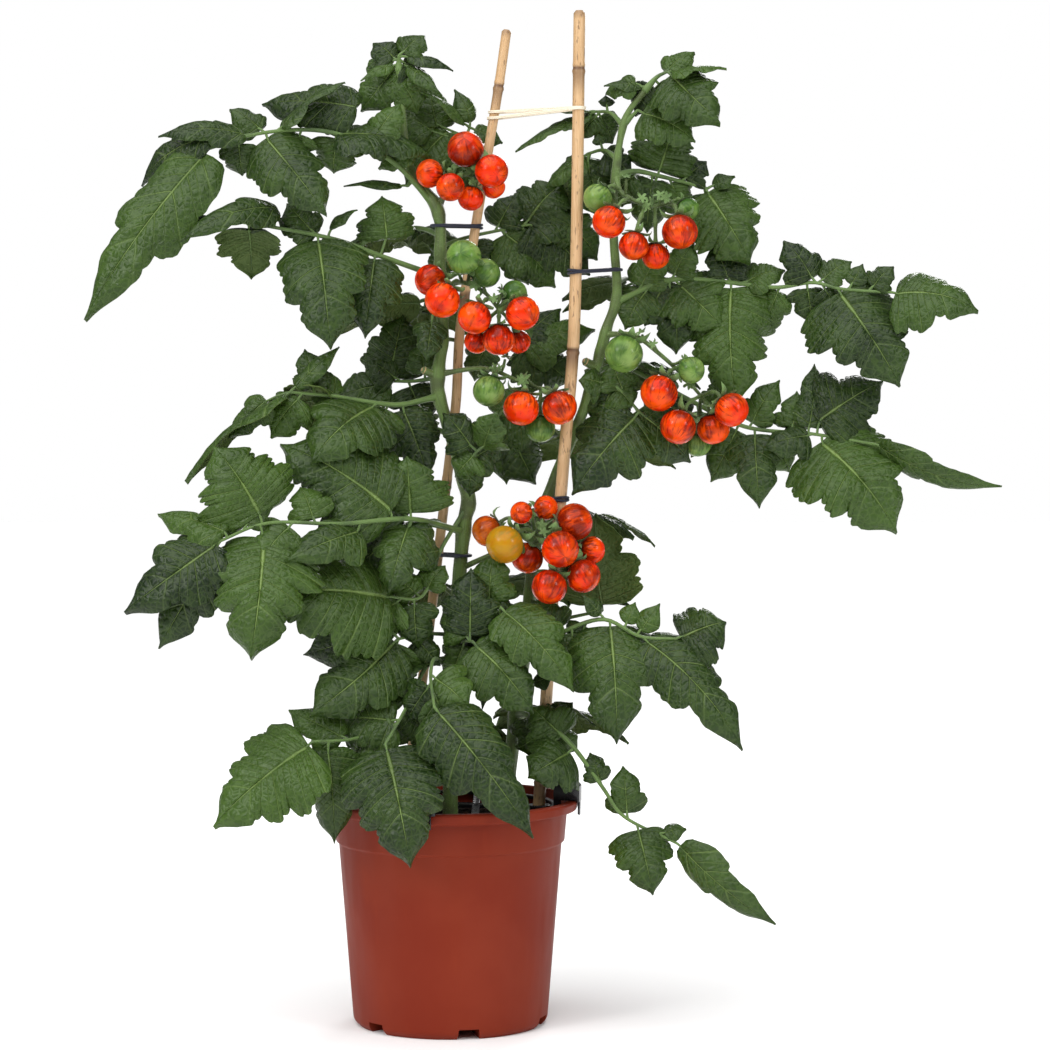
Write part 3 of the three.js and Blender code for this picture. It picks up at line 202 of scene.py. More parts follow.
LEAVES = (
    LeafPlan("upper left", "left", 668, (
        (-48, 703, -16), (-95, 725, -28), (-150, 725, -40), (-195, 712, -50)), (
        (-195, 712, -297, 574, 55, -25, 55), (-148, 720, -100, 660, 50, -30, 60),
        (-92, 724, -94, 692, 38, 14, 50), (-95, 729, -15, 706, 45, 15, 35),
        (-140, 727, -85, 766, 20, 10, 12), (-76, 746, -152, 748, 40, 26, 62),
        (-160, 724, -236, 722, 24, -6, 50), (-172, 722, -168, 690, 28, 14, 60))),
    LeafPlan("behind the top truss", "left", 660, (
        (2, 690, 13), (16, 729, 19)), (
        (13, 731, -23, 758, 14, -18, 30), (17, 734, 4, 760, 16, 12, 35), (17, 731, 43, 717, 20, 4, 50))),
    LeafPlan("left shoot", "left", 775, (
        (-41, 781, 2), (-41, 787, 0)), (
        (-42, 782, -62, 797, 30, 12, 50), (-40, 787, -20, 803, 26, 10, 50), (-34, 786, 3, 775, 12, -2, 40),
        (-41, 778, -26, 740, 34, 4, 66), (-34, 779, -6, 755, 12, -18, 50),
        (-46, 779, -72, 767, 10, -12, 50))),
    LeafPlan("left sword", "left", 690, (
        (-34, 682, -4),), (
        (-36, 682, -86, 682, 8, -4, 45),)),
    LeafPlan("second left", "left", 608, (
        (-55, 625, -22), (-90, 638, -34), (-139, 648, -44), (-178, 654, -50)), (
        (-178, 654, -226, 651, 10, -6, 60), (-140, 664, -219, 637, 26, -36, 58),
        (-51, 640, -55, 674, 42, 12, 72), (-97, 647, -75, 663, 10, 4, 30),
        (-60, 628, -69, 560, 42, -26, 70), (-107, 643, -97, 551, 62, -34, 68),
        (-108, 646, -132, 668, 28, 14, 55), (-163, 652, -161, 608, 45, 24, -60))),
    LeafPlan("middle left", "left", 512, (
        (-40, 505, -26), (-58, 506, -36), (-95, 512, -48), (-130, 515, -56)), (
        (-60, 502, -112, 460, 62, -50, 62), (-90, 515, -158, 495, 44, 24, -50),
        (-130, 515, -216, 443, 38, -14, -10), (-130, 517, -90, 552, 14, 12, 48))),
    LeafPlan("behind left", "left", 527, (
        (-30, 524, 8), (-50, 524, 20)), (
        (-52, 525, -38, 578, 45, 10, 70), (-44, 524, -96, 510, 38, 16, 62))),
    LeafPlan("small front left", "left", 585, (
        (-14, 577, -18),), (
        (-14, 574, -19, 541, 24, -8, 70),)),
    LeafPlan("middle fan", "left", 402, (
        (-33, 412, -62), (-90, 408, -92), (-152, 408, -104), (-187, 394, -108)), (
        (-33, 416, -35, 463, 58, 0, 72), (-34, 406, -50, 352, 40, -24, 68),
        (-48, 419, -138, 473, 75, 8, 70), (-155, 416, -192, 471, 70, 6, 70),
        (-152, 396, -163, 298, 75, -26, 68), (-189, 396, -266, 336, 56, -6, 56),
        (-186, 390, -238, 306, 44, 8, 60))),
    LeafPlan("low left long", "left", 423, (
        (-8, 386, -30), (-24, 348, -54), (-45, 348, -66)), (
        (-45, 348, -178, 345, 80, -40, 62), (-20, 350, -4, 374, 22, 10, 60))),
    LeafPlan("low left second", "left", 318, (
        (-22, 318, -38), (-42, 314, -56)), (
        (-42, 312, -114, 252, 60, -44, 76), (-54, 325, -120, 301, 38, 28, 74))),
    LeafPlan("low left third", "left", 300, (
        (-17, 294, -34), (-32, 265, -64), (-43, 245, -84), (-53, 228, -98)), (
        (-53, 228, -33, 128, 70, -34, 68),)),
    LeafPlan("low left fourth", "left", 262, (
        (-30, 250, -40), (-80, 232, -84), (-112, 230, -98)), (
        (-112, 231, -194, 160, 72, -16, 48), (-100, 222, -95, 146, 42, 16, 55))),
    LeafPlan("front low", "left", 285, (
        (-12, 298, -44), (-16, 284, -76), (-13, 258, -102)), (
        (-15, 284, 15, 258, 38, -16, 70), (-13, 257, 68, 151, 52, -22, 66))),
    LeafPlan("front centre", "left", 306, (
        (10, 312, -38), (18, 312, -56)), (
        (16, 313, 17, 372, 40, 8, 70), (20, 312, 68, 253, 52, -10, 60))),
    LeafPlan("front right", "left", 330, (
        (22, 338, -30), (41, 340, -48)), (
        (41, 339, 101, 271, 44, -18, 62),)),
    LeafPlan("centre sprig", "left", 440, (
        (12, 452, -20), (22, 467, -32)), (
        (17, 471, -5, 498, 30, -6, 70), (27, 470, 38, 499, 30, -24, 70))),
    LeafPlan("dark centre", "left", 446, (
        (30, 478, 14), (42, 500, 24)), (
        (46, 499, 70, 440, 58, 8, 60),)),
    LeafPlan("between canes, high", "left", 630, (
        (0, 636, 10), (16, 641, 19), (60, 650, 27)), (
        (42, 647, 86, 600, 44, 10, 62), (36, 649, 55, 676, 30, 8, 60), (60, 651, 92, 684, 54, 12, 60))),
    LeafPlan("between canes, low", "left", 556, (
        (-1, 558, 9), (12, 556, 20), (55, 554, 27)), (
        (56, 556, 90, 583, 35, 22, 40), (55, 552, 98, 523, 48, 20, 65))),
    LeafPlan("upper middle", "right", 730, (
        (130, 741, 12), (118, 742, 21)), (
        (118, 744, 70, 740, 16, -10, 8), (118, 738, 53, 710, 22, -8, 18), (128, 742, 126, 755, 10, 4, 40))),
    LeafPlan("middle inner", "right", 703, (
        (125, 711, 14), (112, 708, 20)), (
        (112, 708, 78, 681, 20, 4, 45), (124, 712, 120, 724, 10, 2, 45))),
    LeafPlan("right crown", "right", 759, (
        (168, 770, 4), (176, 774, 2)), (
        (176, 774, 219, 733, 50, -26, 60), (174, 776, 224, 777, 24, -4, 6),
        (165, 768, 186, 748, 20, 6, -50), (160, 762, 125, 763, 10, -4, 40))),
    LeafPlan("right upper single", "right", 733, (
        (152, 743, 2),), (
        (153, 742, 199, 718, 40, -8, 60),)),
    LeafPlan("right upper", "right", 690, (
        (150, 694, 10), (170, 690, 14), (209, 680, 16)), (
        (169, 692, 181, 730, 55, 8, 70), (168, 688, 157, 658, 45, 6, 60), (207, 682, 244, 620, 64, -18, 64),
        (212, 681, 231, 690, 14, 2, 50))),
    LeafPlan("right long", "right", 588, (
        (178, 606, 8), (227, 604, 10), (266, 600, 6), (295, 604, 2), (316, 599, -4), (357, 596, -10)), (
        (176, 605, 158, 569, 40, -4, 66), (182, 605, 222, 567, 52, -6, 66),
        (228, 603, 233, 503, 64, -10, 70), (268, 597, 252, 561, 24, 22, 60),
        (297, 606, 271, 638, 30, 8, 60), (299, 605, 326, 621, 24, 6, 55), (290, 602, 292, 571, 28, 8, 60),
        (302, 602, 316, 574, 22, 6, 60), (314, 599, 366, 520, 70, -20, 64),
        (357, 596, 429, 581, 54, -12, 50), (340, 599, 360, 617, 22, 4, 55), (324, 600, 335, 619, 16, 4, 55),
        (236, 603, 272, 614, 26, 6, 55))),
    LeafPlan("right middle", "right", 548, (
        (150, 533, 16), (196, 508, 20), (240, 487, 14), (296, 481, 2), (344, 473, -8)), (
        (300, 492, 352, 524, 59, 10, 70), (292, 487, 296, 538, 26, 28, 60),
        (302, 474, 364, 401, 80, -24, 66), (296, 479, 255, 470, 30, -8, 55),
        (346, 469, 449, 438, 22, -14, 125), (233, 484, 212, 442, 34, 6, 62),
        (247, 482, 252, 421, 38, -16, 64), (244, 489, 268, 525, 26, 8, 62))),
    LeafPlan("right inner", "right", 516, (
        (131, 522, -8), (154, 499, -14)), (
        (153, 498, 99, 432, 59, -10, 66), (128, 523, 105, 525, 26, -2, 60),
        (134, 521, 148, 503, 30, -6, 62))),
    LeafPlan("right low", "right", 300, (
        (66, 308, -12), (86, 317, -26), (125, 330, -36), (155, 316, -42), (184, 314, -46)), (
        (130, 328, 136, 228, 62, -24, 70), (126, 331, 107, 351, 11, -4, 60),
        (157, 315, 239, 223, 46, -24, 60), (184, 314, 225, 328, 54, 8, 52), (154, 321, 171, 343, 16, 6, 60),
        (143, 324, 151, 344, 14, 8, 60), (100, 322, 99, 286, 34, -10, 66))),
    LeafPlan("right underside", "right", 322, (
        (70, 325, 10), (100, 332, 8), (124, 337, 2)), (
        (124, 338, 119, 416, 62, 14, -62),)),
    LeafPlan("narrow low", "right", 262, (
        (60, 272, 0), (63, 277, -16)), (
        (62, 277, 85, 283, 14, -2, 45),)),
    LeafPlan("lowest right", "right", 250, (
        (62, 252, -6), (80, 244, -24), (100, 226, -36), (126, 190, -42), (140, 170, -44),
        (184, 147, -48)), (
        (95, 232, 65, 259, 42, 12, 66), (97, 221, 65, 202, 48, -26, 68), (124, 193, 114, 221, 20, 8, 60),
        (146, 168, 141, 210, 28, 10, 60), (154, 165, 166, 104, 44, -16, 64),
        (170, 154, 193, 158, 14, 4, 50), (184, 147, 266, 79, 28, -10, 115))),
)
# Small inner leaflets of some leaves, that show between the main ones
INNER_LEAFLETS = {
    "upper left": (
        (-196, 722, -250, 682, 30, 30, 60), (-60, 722, -40, 748, 26, 12, 50),
        (-120, 727, -128, 700, 26, 10, 60), (-30, 712, -58, 696, 22, 8, 60),
        (-150, 727, -178, 744, 24, 10, 50)),
    "behind the top truss": (
        (-2, 726, -36, 682, 42, 8, 62), (-14, 726, -52, 742, 30, 12, 50), (8, 716, 26, 676, 34, 10, 64),
        (-10, 730, -16, 764, 30, 12, 50)),
    "left shoot": (
        (-41, 782, -72, 742, 38, 10, 62), (-41, 784, -22, 770, 26, 8, 56), (-46, 784, -66, 778, 16, 8, 56),
        (-38, 780, -48, 752, 20, 10, 60)),
    "second left": (
        (-146, 650, -170, 664, 20, 10, 50), (-62, 632, -84, 612, 26, 12, 66),
        (-90, 640, -110, 616, 24, 10, 66), (-104, 644, -140, 656, 24, 12, 52)),
    "middle left": (
        (-38, 500, -18, 444, 40, 8, 66), (-110, 514, -118, 550, 26, 14, 56),
        (-88, 514, -128, 526, 24, 30, 60), (-120, 514, -146, 478, 34, -4, 62),
        (-50, 504, -66, 470, 34, 6, 66), (-150, 508, -180, 478, 26, 6, 56)),
    "behind left": (
        (-34, 526, -20, 486, 36, 4, 64), (-40, 528, -66, 540, 30, 6, 60), (-20, 524, -22, 556, 26, 8, 64)),
    "middle fan": (
        (-128, 406, -154, 376, 36, -10, 64), (-184, 402, -238, 416, 28, 30, 50),
        (-74, 402, -134, 378, 38, -34, 64), (-34, 412, -68, 436, 34, 14, 66),
        (-34, 400, -84, 364, 40, 16, 64), (-110, 406, -122, 438, 30, 20, 62),
        (-168, 402, -146, 436, 24, 14, 60), (-34, 404, -12, 366, 30, 18, 66)),
    "low left long": (
        (-40, 346, -70, 318, 36, 12, 66), (-26, 350, -52, 372, 30, 12, 60),
        (-30, 344, -26, 306, 32, 10, 68)),
    "low left second": (
        (-46, 312, -58, 270, 40, 14, 68), (-30, 316, -8, 292, 26, 8, 64), (-44, 316, -76, 340, 30, 18, 60)),
    "low left third": (
        (-46, 250, -116, 240, 42, 26, 62), (-44, 246, -84, 214, 34, 20, 64),
        (-38, 258, -14, 226, 30, 20, 66), (-34, 264, -62, 274, 26, 14, 58)),
    "low left fourth": (
        (-84, 232, -132, 256, 30, 18, 56), (-60, 240, -92, 262, 28, 20, 58)),
    "front low": (
        (-14, 278, -36, 246, 30, 14, 66), (-14, 270, 14, 226, 34, 20, 66)),
    "front centre": (
        (16, 312, -6, 340, 28, 12, 66), (18, 312, 38, 288, 28, 14, 66), (12, 312, 0, 276, 28, 12, 66)),
    "front right": (
        (32, 338, 36, 384, 34, 12, 62), (28, 336, 26, 256, 36, 14, 66), (36, 340, 62, 330, 22, 12, 60),
        (40, 338, 46, 296, 30, 10, 66)),
    "centre sprig": (
        (24, 468, 4, 446, 28, 8, 66), (16, 462, 44, 474, 24, 10, 62), (22, 464, 16, 430, 26, 8, 66)),
    "dark centre": (
        (42, 498, 46, 440, 40, 10, 62), (30, 484, 14, 454, 26, -12, 62), (44, 500, 88, 480, 40, 12, 60),
        (36, 494, 60, 520, 30, 12, 62)),
    "between canes, high": (
        (66, 650, 114, 610, 52, 14, 64), (60, 650, 118, 654, 34, 16, 58), (42, 647, 64, 602, 36, 12, 64),
        (20, 642, 28, 606, 30, 12, 64), (58, 650, 72, 618, 30, 12, 64), (4, 636, -14, 606, 28, 10, 64),
        (96, 652, 120, 622, 34, 12, 64)),
    "between canes, low": (
        (60, 553, 74, 530, 30, 14, 62), (30, 555, 20, 524, 26, 10, 62), (60, 554, 118, 566, 36, 16, 60)),
    "upper middle": (
        (120, 742, 132, 716, 26, 10, 60), (122, 741, 104, 720, 20, 8, 60)),
    "middle inner": (
        (114, 708, 106, 672, 34, 14, 62), (122, 710, 148, 690, 26, 10, 60),
        (112, 698, 122, 656, 34, 12, 62)),
    "right crown": (
        (172, 774, 198, 790, 26, 10, 40), (164, 768, 150, 738, 24, 10, 60),
        (150, 766, 126, 756, 22, 10, 52)),
    "right upper": (
        (206, 680, 214, 640, 34, 12, 64), (188, 686, 208, 702, 26, 8, 56), (152, 693, 130, 668, 28, 12, 64),
        (178, 688, 190, 656, 30, 12, 64), (164, 690, 160, 644, 32, 12, 64)),
    "right long": (
        (178, 605, 184, 546, 46, -2, 66), (220, 604, 240, 632, 30, 8, 58), (228, 604, 212, 634, 26, 8, 60),
        (160, 604, 142, 566, 32, -4, 64), (180, 606, 198, 636, 30, 6, 60), (214, 604, 200, 560, 34, 14, 66),
        (240, 602, 262, 574, 30, 10, 62), (152, 598, 176, 634, 30, 14, 60)),
    "right middle": (
        (262, 486, 276, 450, 32, 10, 62), (214, 498, 196, 462, 32, 12, 62),
        (180, 516, 176, 476, 34, 16, 62), (214, 498, 226, 528, 28, 14, 60),
        (278, 484, 282, 516, 28, 14, 60)),
    "right inner": (
        (154, 499, 196, 458, 38, 10, 62), (148, 502, 170, 466, 36, 10, 64),
        (132, 518, 118, 486, 32, 12, 64), (140, 512, 132, 540, 28, 10, 62)),
    "right low": (
        (92, 320, 66, 346, 30, 14, 62), (86, 318, 72, 282, 32, 14, 64), (158, 318, 176, 294, 26, 8, 60),
        (112, 326, 100, 302, 26, 10, 64)),
    "lowest right": (
        (78, 244, 100, 262, 26, 12, 60), (84, 240, 104, 222, 22, 10, 60), (64, 250, 66, 216, 30, 14, 66)),
}

FAR_LEAVES = (
    FarPlan("left", 236, 100, 110), FarPlan("left", 292, 188, 100), FarPlan("left", 345, 112, 120),
    FarPlan("left", 400, 182, 95), FarPlan("left", 480, 150, 110), FarPlan("left", 582, 112, 100),
    FarPlan("left", 642, 136, 80), FarPlan("right", 244, 60, 100), FarPlan("right", 300, 18, 90),
    FarPlan("right", 352, 74, 120), FarPlan("right", 404, 60, 120), FarPlan("right", 470, 70, 120),
    FarPlan("right", 530, 46, 100), FarPlan("right", 600, 74, 100), FarPlan("right", 684, 84, 80),
)
# How much broader the leaflets are than their plans say
BREADTH = 1.3
# Where in each lobe the vein to its point leaves the midrib
VEIN_PLACE = 0.55
# How many lobes a side of the largest leaflets has; places on a blade are counted so that its tip is at this
MOST_LOBES = 4
# A direction that no tube starts along
ASIDE = (0.36, 0.48, 0.8)
# A tube's rounded end: how far it stands out and how wide it is, as shares of the radius
END_REACH = 0.5
END_RADIUS = 0.6
# The length along a piece that its own map counts as 1
MAP_LENGTH = 100.0


def unit(vectors: Array) -> Array:
    """Returns vectors along the last axis at length 1."""
    return vectors / np.maximum(np.linalg.norm(vectors, axis=-1, keepdims=True), 1e-9)


def smooth_step(low: float, high: float, value: Array) -> Array:
    """Returns 0 below low, 1 above high and an even S-curve between them."""
    share = np.clip((value - low) / (high - low), 0.0, 1.0)
    return share * share * (3.0 - 2.0 * share)


def bulge(offset: Array, width: float) -> Array:
    """Returns a bell curve that is 1 where the offset is 0 and fades over a width."""
    return np.exp(-(offset / width) ** 2)


def shares(count: int) -> Array:
    """Returns evenly spaced numbers from 0 to 1."""
    return np.linspace(0.0, 1.0, count)


def turns(sides: int) -> Array:
    """Returns the angles of a ring's evenly spaced sides."""
    return np.linspace(0.0, 2.0 * math.pi, sides, endpoint=False)


def chance(number: float) -> float:
    """Returns a repeatable number from 0 to 1 for each whole number."""
    value = math.sin(number * 12.9898 + 4.1414) * 43758.5453
    return value - math.floor(value)


def seen(place: Sequence[float]) -> Array:
    """Finds the point that shows at a place from the camera.

    Args:
        place: x and z in the upright plane through the pot's axis, and y behind it.

    Returns:
        The point, in millimetres.
    """
    x, z, y = place
    reach = (y - VIEW_POINT[1]) / -VIEW_POINT[1]
    return VIEW_POINT + (np.array((x, 0.0, z)) - VIEW_POINT) * reach


def seen_all(places: Sequence[Sequence[float]]) -> Array:
    """Returns the points that show at several places."""
    return np.array([seen(place) for place in places])


def length_of(line: Array) -> float:
    """Returns a line's length."""
    return float(np.linalg.norm(np.diff(line, axis=0), axis=1).sum())


def distances(line: Array) -> Array:
    """Returns how far along a line each of its points lies."""
    return np.concatenate(((0.0,), np.cumsum(np.linalg.norm(np.diff(line, axis=0), axis=1))))


def point_at_height(line: Array, height: float) -> Array:
    """Returns the point of a rising line of straight pieces at a height."""
    above = np.nonzero(line[1:, 2] >= height)[0]
    index = above[0] + 1 if len(above) else len(line) - 1
    low, high = line[index - 1], line[index]
    return low + (high - low) * min(1.0, (height - low[2]) / (high[2] - low[2]))


def rod_section(line: Array, radii: Array, height: float) -> tuple[Array, float]:
    """Returns where a rod's middle line is at a height, and its radius there."""
    return point_at_height(line, height), float(np.interp(height, line[:, 2], radii))


def nearest_on(line: Array, point: Array) -> tuple[Array, int, float]:
    """Finds the point of a line of straight pieces that lies nearest to a point.

    Args:
        line: the line's corners.
        point: the point.

    Returns:
        The nearest point, the number of its piece and its share of that piece.
    """
    steps = line[1:] - line[:-1]
    along = np.einsum("ij,ij->i", point - line[:-1], steps) / np.einsum("ij,ij->i", steps, steps)
    along = np.clip(along, 0.0, 1.0)
    candidates = line[:-1] + steps * along[:, None]
    index = int(np.argmin(np.linalg.norm(candidates - point, axis=1)))
    return candidates[index], index, float(along[index])


def smoothed(points: Array, steps: int) -> Array:
    """Lays a smooth curve through points and cuts it evenly.

    Args:
        points: the points that the curve passes through.
        steps: the number of pieces.

    Returns:
        steps + 1 points, evenly spaced.
    """
    padded = np.vstack((2 * points[0] - points[1], points, 2 * points[-1] - points[-2]))
    gaps = np.maximum(np.linalg.norm(np.diff(padded, axis=0), axis=1) ** 0.5, 1e-4)
    share = shares(25)[:, None]
    pieces = []
    for index in range(1, len(padded) - 2):
        before, low, high, after = padded[index - 1:index + 3]
        gap_before, gap, gap_after = gaps[index - 1:index + 2]
        step = (high - low) / gap
        start = ((low - before) / gap_before - (high - before) / (gap_before + gap) + step) * gap
        end = (step - (after - low) / (gap + gap_after) + (after - high) / gap_after) * gap
        pieces.append(low + start * share + (3 * (high - low) - 2 * start - end) * share ** 2
                      + (2 * (low - high) + start + end) * share ** 3)
    dense = np.vstack([pieces[0]] + [piece[1:] for piece in pieces[1:]])
    lengths = distances(dense)
    places = np.linspace(0.0, lengths[-1], steps + 1)
    return np.stack([np.interp(places, lengths, dense[:, axis]) for axis in range(3)], axis=1)


def linear(red: float, green: float, blue: float) -> Colour:
    """Returns an opaque linear colour from one as it shows, with each part from 0 to 255."""
    def part(value: float) -> float:
        """Returns one part of the colour as linear light."""
        share = value / 255.0
        return share / 12.92 if share <= 0.04045 else ((share + 0.055) / 1.055) ** 2.4

    return part(red), part(green), part(blue), 1.0


def map_grid(around: Array, along: Array) -> Array:
    """Returns the map places of a grid, from those of its columns and its rows."""
    return np.stack(np.broadcast_arrays(around[None, :], along[:, None]), axis=-1)


def four_corners(grid: Array) -> Array:
    """Returns the values at the four corners of each cell of a grid, one cell in a row."""
    corners = np.stack((grid[:-1, :-1], grid[:-1, 1:], grid[1:, 1:], grid[1:, :-1]), axis=2)
    return corners.reshape(-1, 4, 2)


class Shell:
    """Gathers closed surfaces, in millimetres, that together become one mesh."""

    def __init__(self) -> None:
        """Starts an empty shell."""
        self.points: list[Array] = []
        self.faces: list[tuple[int, ...]] = []
        self.face_slots: list[int] = []
        self.face_uvs: list[tuple[tuple[float, float], ...]] = []
        self.tones: list[Array] = []
        self.count = 0

    def add(self, points: Array, faces: Array, slots: Array | int, uv: Array, tone: float = 0.5) -> None:
        """Adds a surface.

        Args:
            points: the corners, one in a row.
            faces: rows of corner numbers; a triangle repeats its last one.
            slots: the material slot of each face, or of all.
            uv: the place on the surface for each corner of each face.
            tone: a shade from 0 to 1 for the whole surface.
        """
        slots = np.broadcast_to(np.asarray(slots), (len(faces),))
        for row, slot, corners in zip(faces.tolist(), slots.tolist(), uv.tolist()):
            size = 3 if row[2] == row[3] else 4
            self.faces.append(tuple(corner + self.count for corner in row[:size]))
            self.face_slots.append(slot)
            self.face_uvs.append(tuple(tuple(corner) for corner in corners[:size]))
        self.points.append(points)
        self.tones.append(np.full(len(points), float(tone)))
        self.count += len(points)

    def grid(self, points: Array, uv: Array, slots: Array | int, tone: float = 0.5) -> None:
        """Adds a grid of points whose two long sides meet in a tube, closed by its first and last rows.

        Args:
            points: rows x columns x 3, each row a ring round the tube.
            uv: rows x (columns + 1) x 2.
            slots: the material slot of each face, or of all.
            tone: a shade from 0 to 1.
        """
        rows, columns = points.shape[:2]
        index = np.arange(rows * columns).reshape(rows, columns)
        around = np.roll(index, -1, axis=1)
        faces = np.stack((index[:-1], around[:-1], around[1:], index[1:]), axis=-1).reshape(-1, 4)
        flat = points.reshape(-1, 3)
        caps = []
        cap_uv = []
        for row, order in ((0, -1), (rows - 1, 1)):
            centre = len(flat)
            flat = np.vstack((flat, points[row].mean(axis=0)))
            for step in range(columns):
                pair = (index[row, step], around[row, step])[::order]
                ends = (uv[row, step], uv[row, step + 1])[::order]
                caps.append((centre, pair[0], pair[1], pair[1]))
                cap_uv.append(((uv[row, step] + uv[row, step + 1]) / 2, ends[0], ends[1], ends[1]))
        corners = np.concatenate((four_corners(uv), np.array(cap_uv)))
        self.add(flat, np.vstack((faces, np.array(caps))), slots, corners, tone)

    def build(self, name: str, materials: Sequence[Material], smooth_angle: float = 80.0) -> Piece:
        """Makes the mesh object.

        Args:
            name: the piece's name.
            materials: its materials, in slot order.
            smooth_angle: the angle in degrees past which an edge stays sharp.

        Returns:
            The object, at the origin.
        """
        mesh = bpy.data.meshes.new(name)
        points = np.vstack(self.points) * MM
        mesh.from_pydata(points.tolist(), [], self.faces)
        layer = mesh.uv_layers.new(name="UVMap")
        flat = [value for face in self.face_uvs for corner in face for value in corner]
        layer.data.foreach_set("uv", flat)
        tone = mesh.attributes.new("tone", "FLOAT", "POINT")
        tone.data.foreach_set("value", np.concatenate(self.tones))
        for material in materials:
            mesh.materials.append(material)
        mesh.polygons.foreach_set("material_index", self.face_slots)
        mesh.polygons.foreach_set("use_smooth", [True] * len(mesh.polygons))
        mesh.set_sharp_from_angle(angle=math.radians(smooth_angle))
        mesh.update()
        return add_object(name, mesh)


def add_object(name: str, mesh: bpy.types.Mesh) -> Piece:
    """Returns a new object of a mesh, at the origin in the scene."""
    piece = bpy.data.objects.new(name, mesh)
    bpy.context.scene.collection.objects.link(piece)
    return piece


def points_of(mesh: bpy.types.Mesh) -> Array:
    """Returns a mesh's points in metres, one in a row."""
    points = np.empty(len(mesh.vertices) * 3)
    mesh.vertices.foreach_get("co", points)
    return points.reshape(-1, 3)


def keep_result(piece: Piece, modifier: bpy.types.Modifier) -> bpy.types.Mesh:
    """Makes what a modifier gives the piece's own plain mesh, and removes the modifier.

    Args:
        piece: the piece.
        modifier: its one modifier.

    Returns:
        The new mesh.
    """
    bpy.context.view_layer.update()
    evaluated = piece.evaluated_get(bpy.context.evaluated_depsgraph_get())
    mesh = bpy.data.meshes.new_from_object(evaluated)
    piece.modifiers.remove(modifier)
    piece.data = mesh
    return mesh


def settle(piece: Piece, slot: str, *nodes: str) -> None:
    """Puts a finished piece on the body and in place of the nodes that it stands for.

    Args:
        piece: the piece.
        slot: the material slot of the record that it belongs to; it is not used.
        nodes: the nodes that it replaces.
    """
    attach(piece, BODY)
    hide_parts(*nodes)
    LOG.info("%s: %d faces", piece.name, len(piece.data.polygons))


def add_tube(shell: Shell, line: Array, radii: Array, slot: int, sides: int = 10, tone: float = 0.5,
             ripple: Array | None = None) -> None:
    """Adds a round tube along a line, closed and rounded at both ends.

    Args:
        shell: where it is added.
        line: the middle line.
        radii: the radius at each point.
        slot: the material slot.
        sides: how many sides it has.
        tone: a shade from 0 to 1.
        ripple: for each point and side, a factor on the radius.
    """
    tangents = unit(np.gradient(line, axis=0))
    carried = [unit(np.cross(ASIDE, tangents[0]))]
    for tangent in tangents[1:]:
        carried.append(unit(carried[-1] - tangent * np.dot(carried[-1], tangent)))
    normals = np.array(carried)
    binormals = np.cross(tangents, normals)
    angles = turns(sides)
    factors = np.ones((len(line), sides)) if ripple is None else ripple
    across = (np.cos(angles)[None, :, None] * normals[:, None, :]
              + np.sin(angles)[None, :, None] * binormals[:, None, :])
    rings = line[:, None, :] + across * (radii[:, None] * factors)[:, :, None]
    first = line[0] - tangents[0] * radii[0] * END_REACH + (rings[0] - line[0]) * END_RADIUS
    last = line[-1] + tangents[-1] * radii[-1] * END_REACH + (rings[-1] - line[-1]) * END_RADIUS
    rings = np.concatenate((first[None], rings, last[None]))
    lengths = distances(line)
    lengths = np.concatenate(((lengths[0],), lengths, (lengths[-1],)))
    shell.grid(rings, map_grid(shares(sides + 1), lengths / MAP_LENGTH), slot, tone)


def add_ring(shell: Shell, line: Array, radius: float, squash: float, sides: int = 8) -> None:
    """Adds a closed ring of tube along a closed line that lies nearly level.

    Args:
        shell: where it is added.
        line: the line's points, without the first one again.
        radius: the tube's radius.
        squash: the height of its section as a share of its width.
        sides: how many sides it has.
    """
    ahead = unit(np.roll(line, -1, axis=0) - np.roll(line, 1, axis=0))
    outward = unit(np.cross(ahead, UP))
    rise = np.cross(outward, ahead)
    angles = turns(sides)
    rings = (line[:, None, :] + outward[:, None, :] * (np.cos(angles) * radius)[None, :, None]
             + rise[:, None, :] * (np.sin(angles) * radius * squash)[None, :, None])
    index = np.arange(len(line) * sides).reshape(len(line), sides)
    after = np.roll(index, -1, axis=0)
    faces = np.stack((index, np.roll(index, -1, axis=1), np.roll(after, -1, axis=1), after), axis=-1)
    uv = map_grid(shares(sides + 1), np.arange(len(line) + 1) / 20.0)
    shell.add(rings.reshape(-1, 3), faces.reshape(-1, 4), 0, four_corners(uv))


def add_lathe(shell: Shell, profile: Sequence[tuple[float, float]], sides: int) -> None:
    """Adds a turned form round the Z axis, from a profile that starts and ends on the axis.

    Args:
        shell: where it is added.
        profile: (radius, height) pairs, from the bottom up the outside.
        sides: how many sides it has.
    """
    rows = np.array(profile[1:-1])
    angles = turns(sides)
    rings = np.stack((rows[:, :1] * np.cos(angles), rows[:, :1] * np.sin(angles),
                      np.broadcast_to(rows[:, 1:], (len(rows), sides))), axis=-1)
    shell.grid(rings, map_grid(shares(sides + 1), distances(rows) / MAP_LENGTH), 0)


def rounded(profile: Sequence[tuple[float, float, float]]) -> list[tuple[float, float]]:
    """Rounds the corners of a profile.

    Args:
        profile: (radius, height, rounding) at each corner.

    Returns:
        (radius, height) pairs.
    """
    out: list[tuple[float, float]] = []
    for index, (radius, height, rounding) in enumerate(profile):
        corner = np.array((radius, height))
        if rounding <= 0.0 or index in (0, len(profile) - 1):
            out.append((radius, height))
            continue
        before = unit(np.array(profile[index - 1][:2]) - corner) * rounding
        after = unit(np.array(profile[index + 1][:2]) - corner) * rounding
        for share in shares(5):
            point = corner + before * (1 - share) ** 2 + after * share ** 2
            out.append((float(point[0]), float(point[1])))
    return out


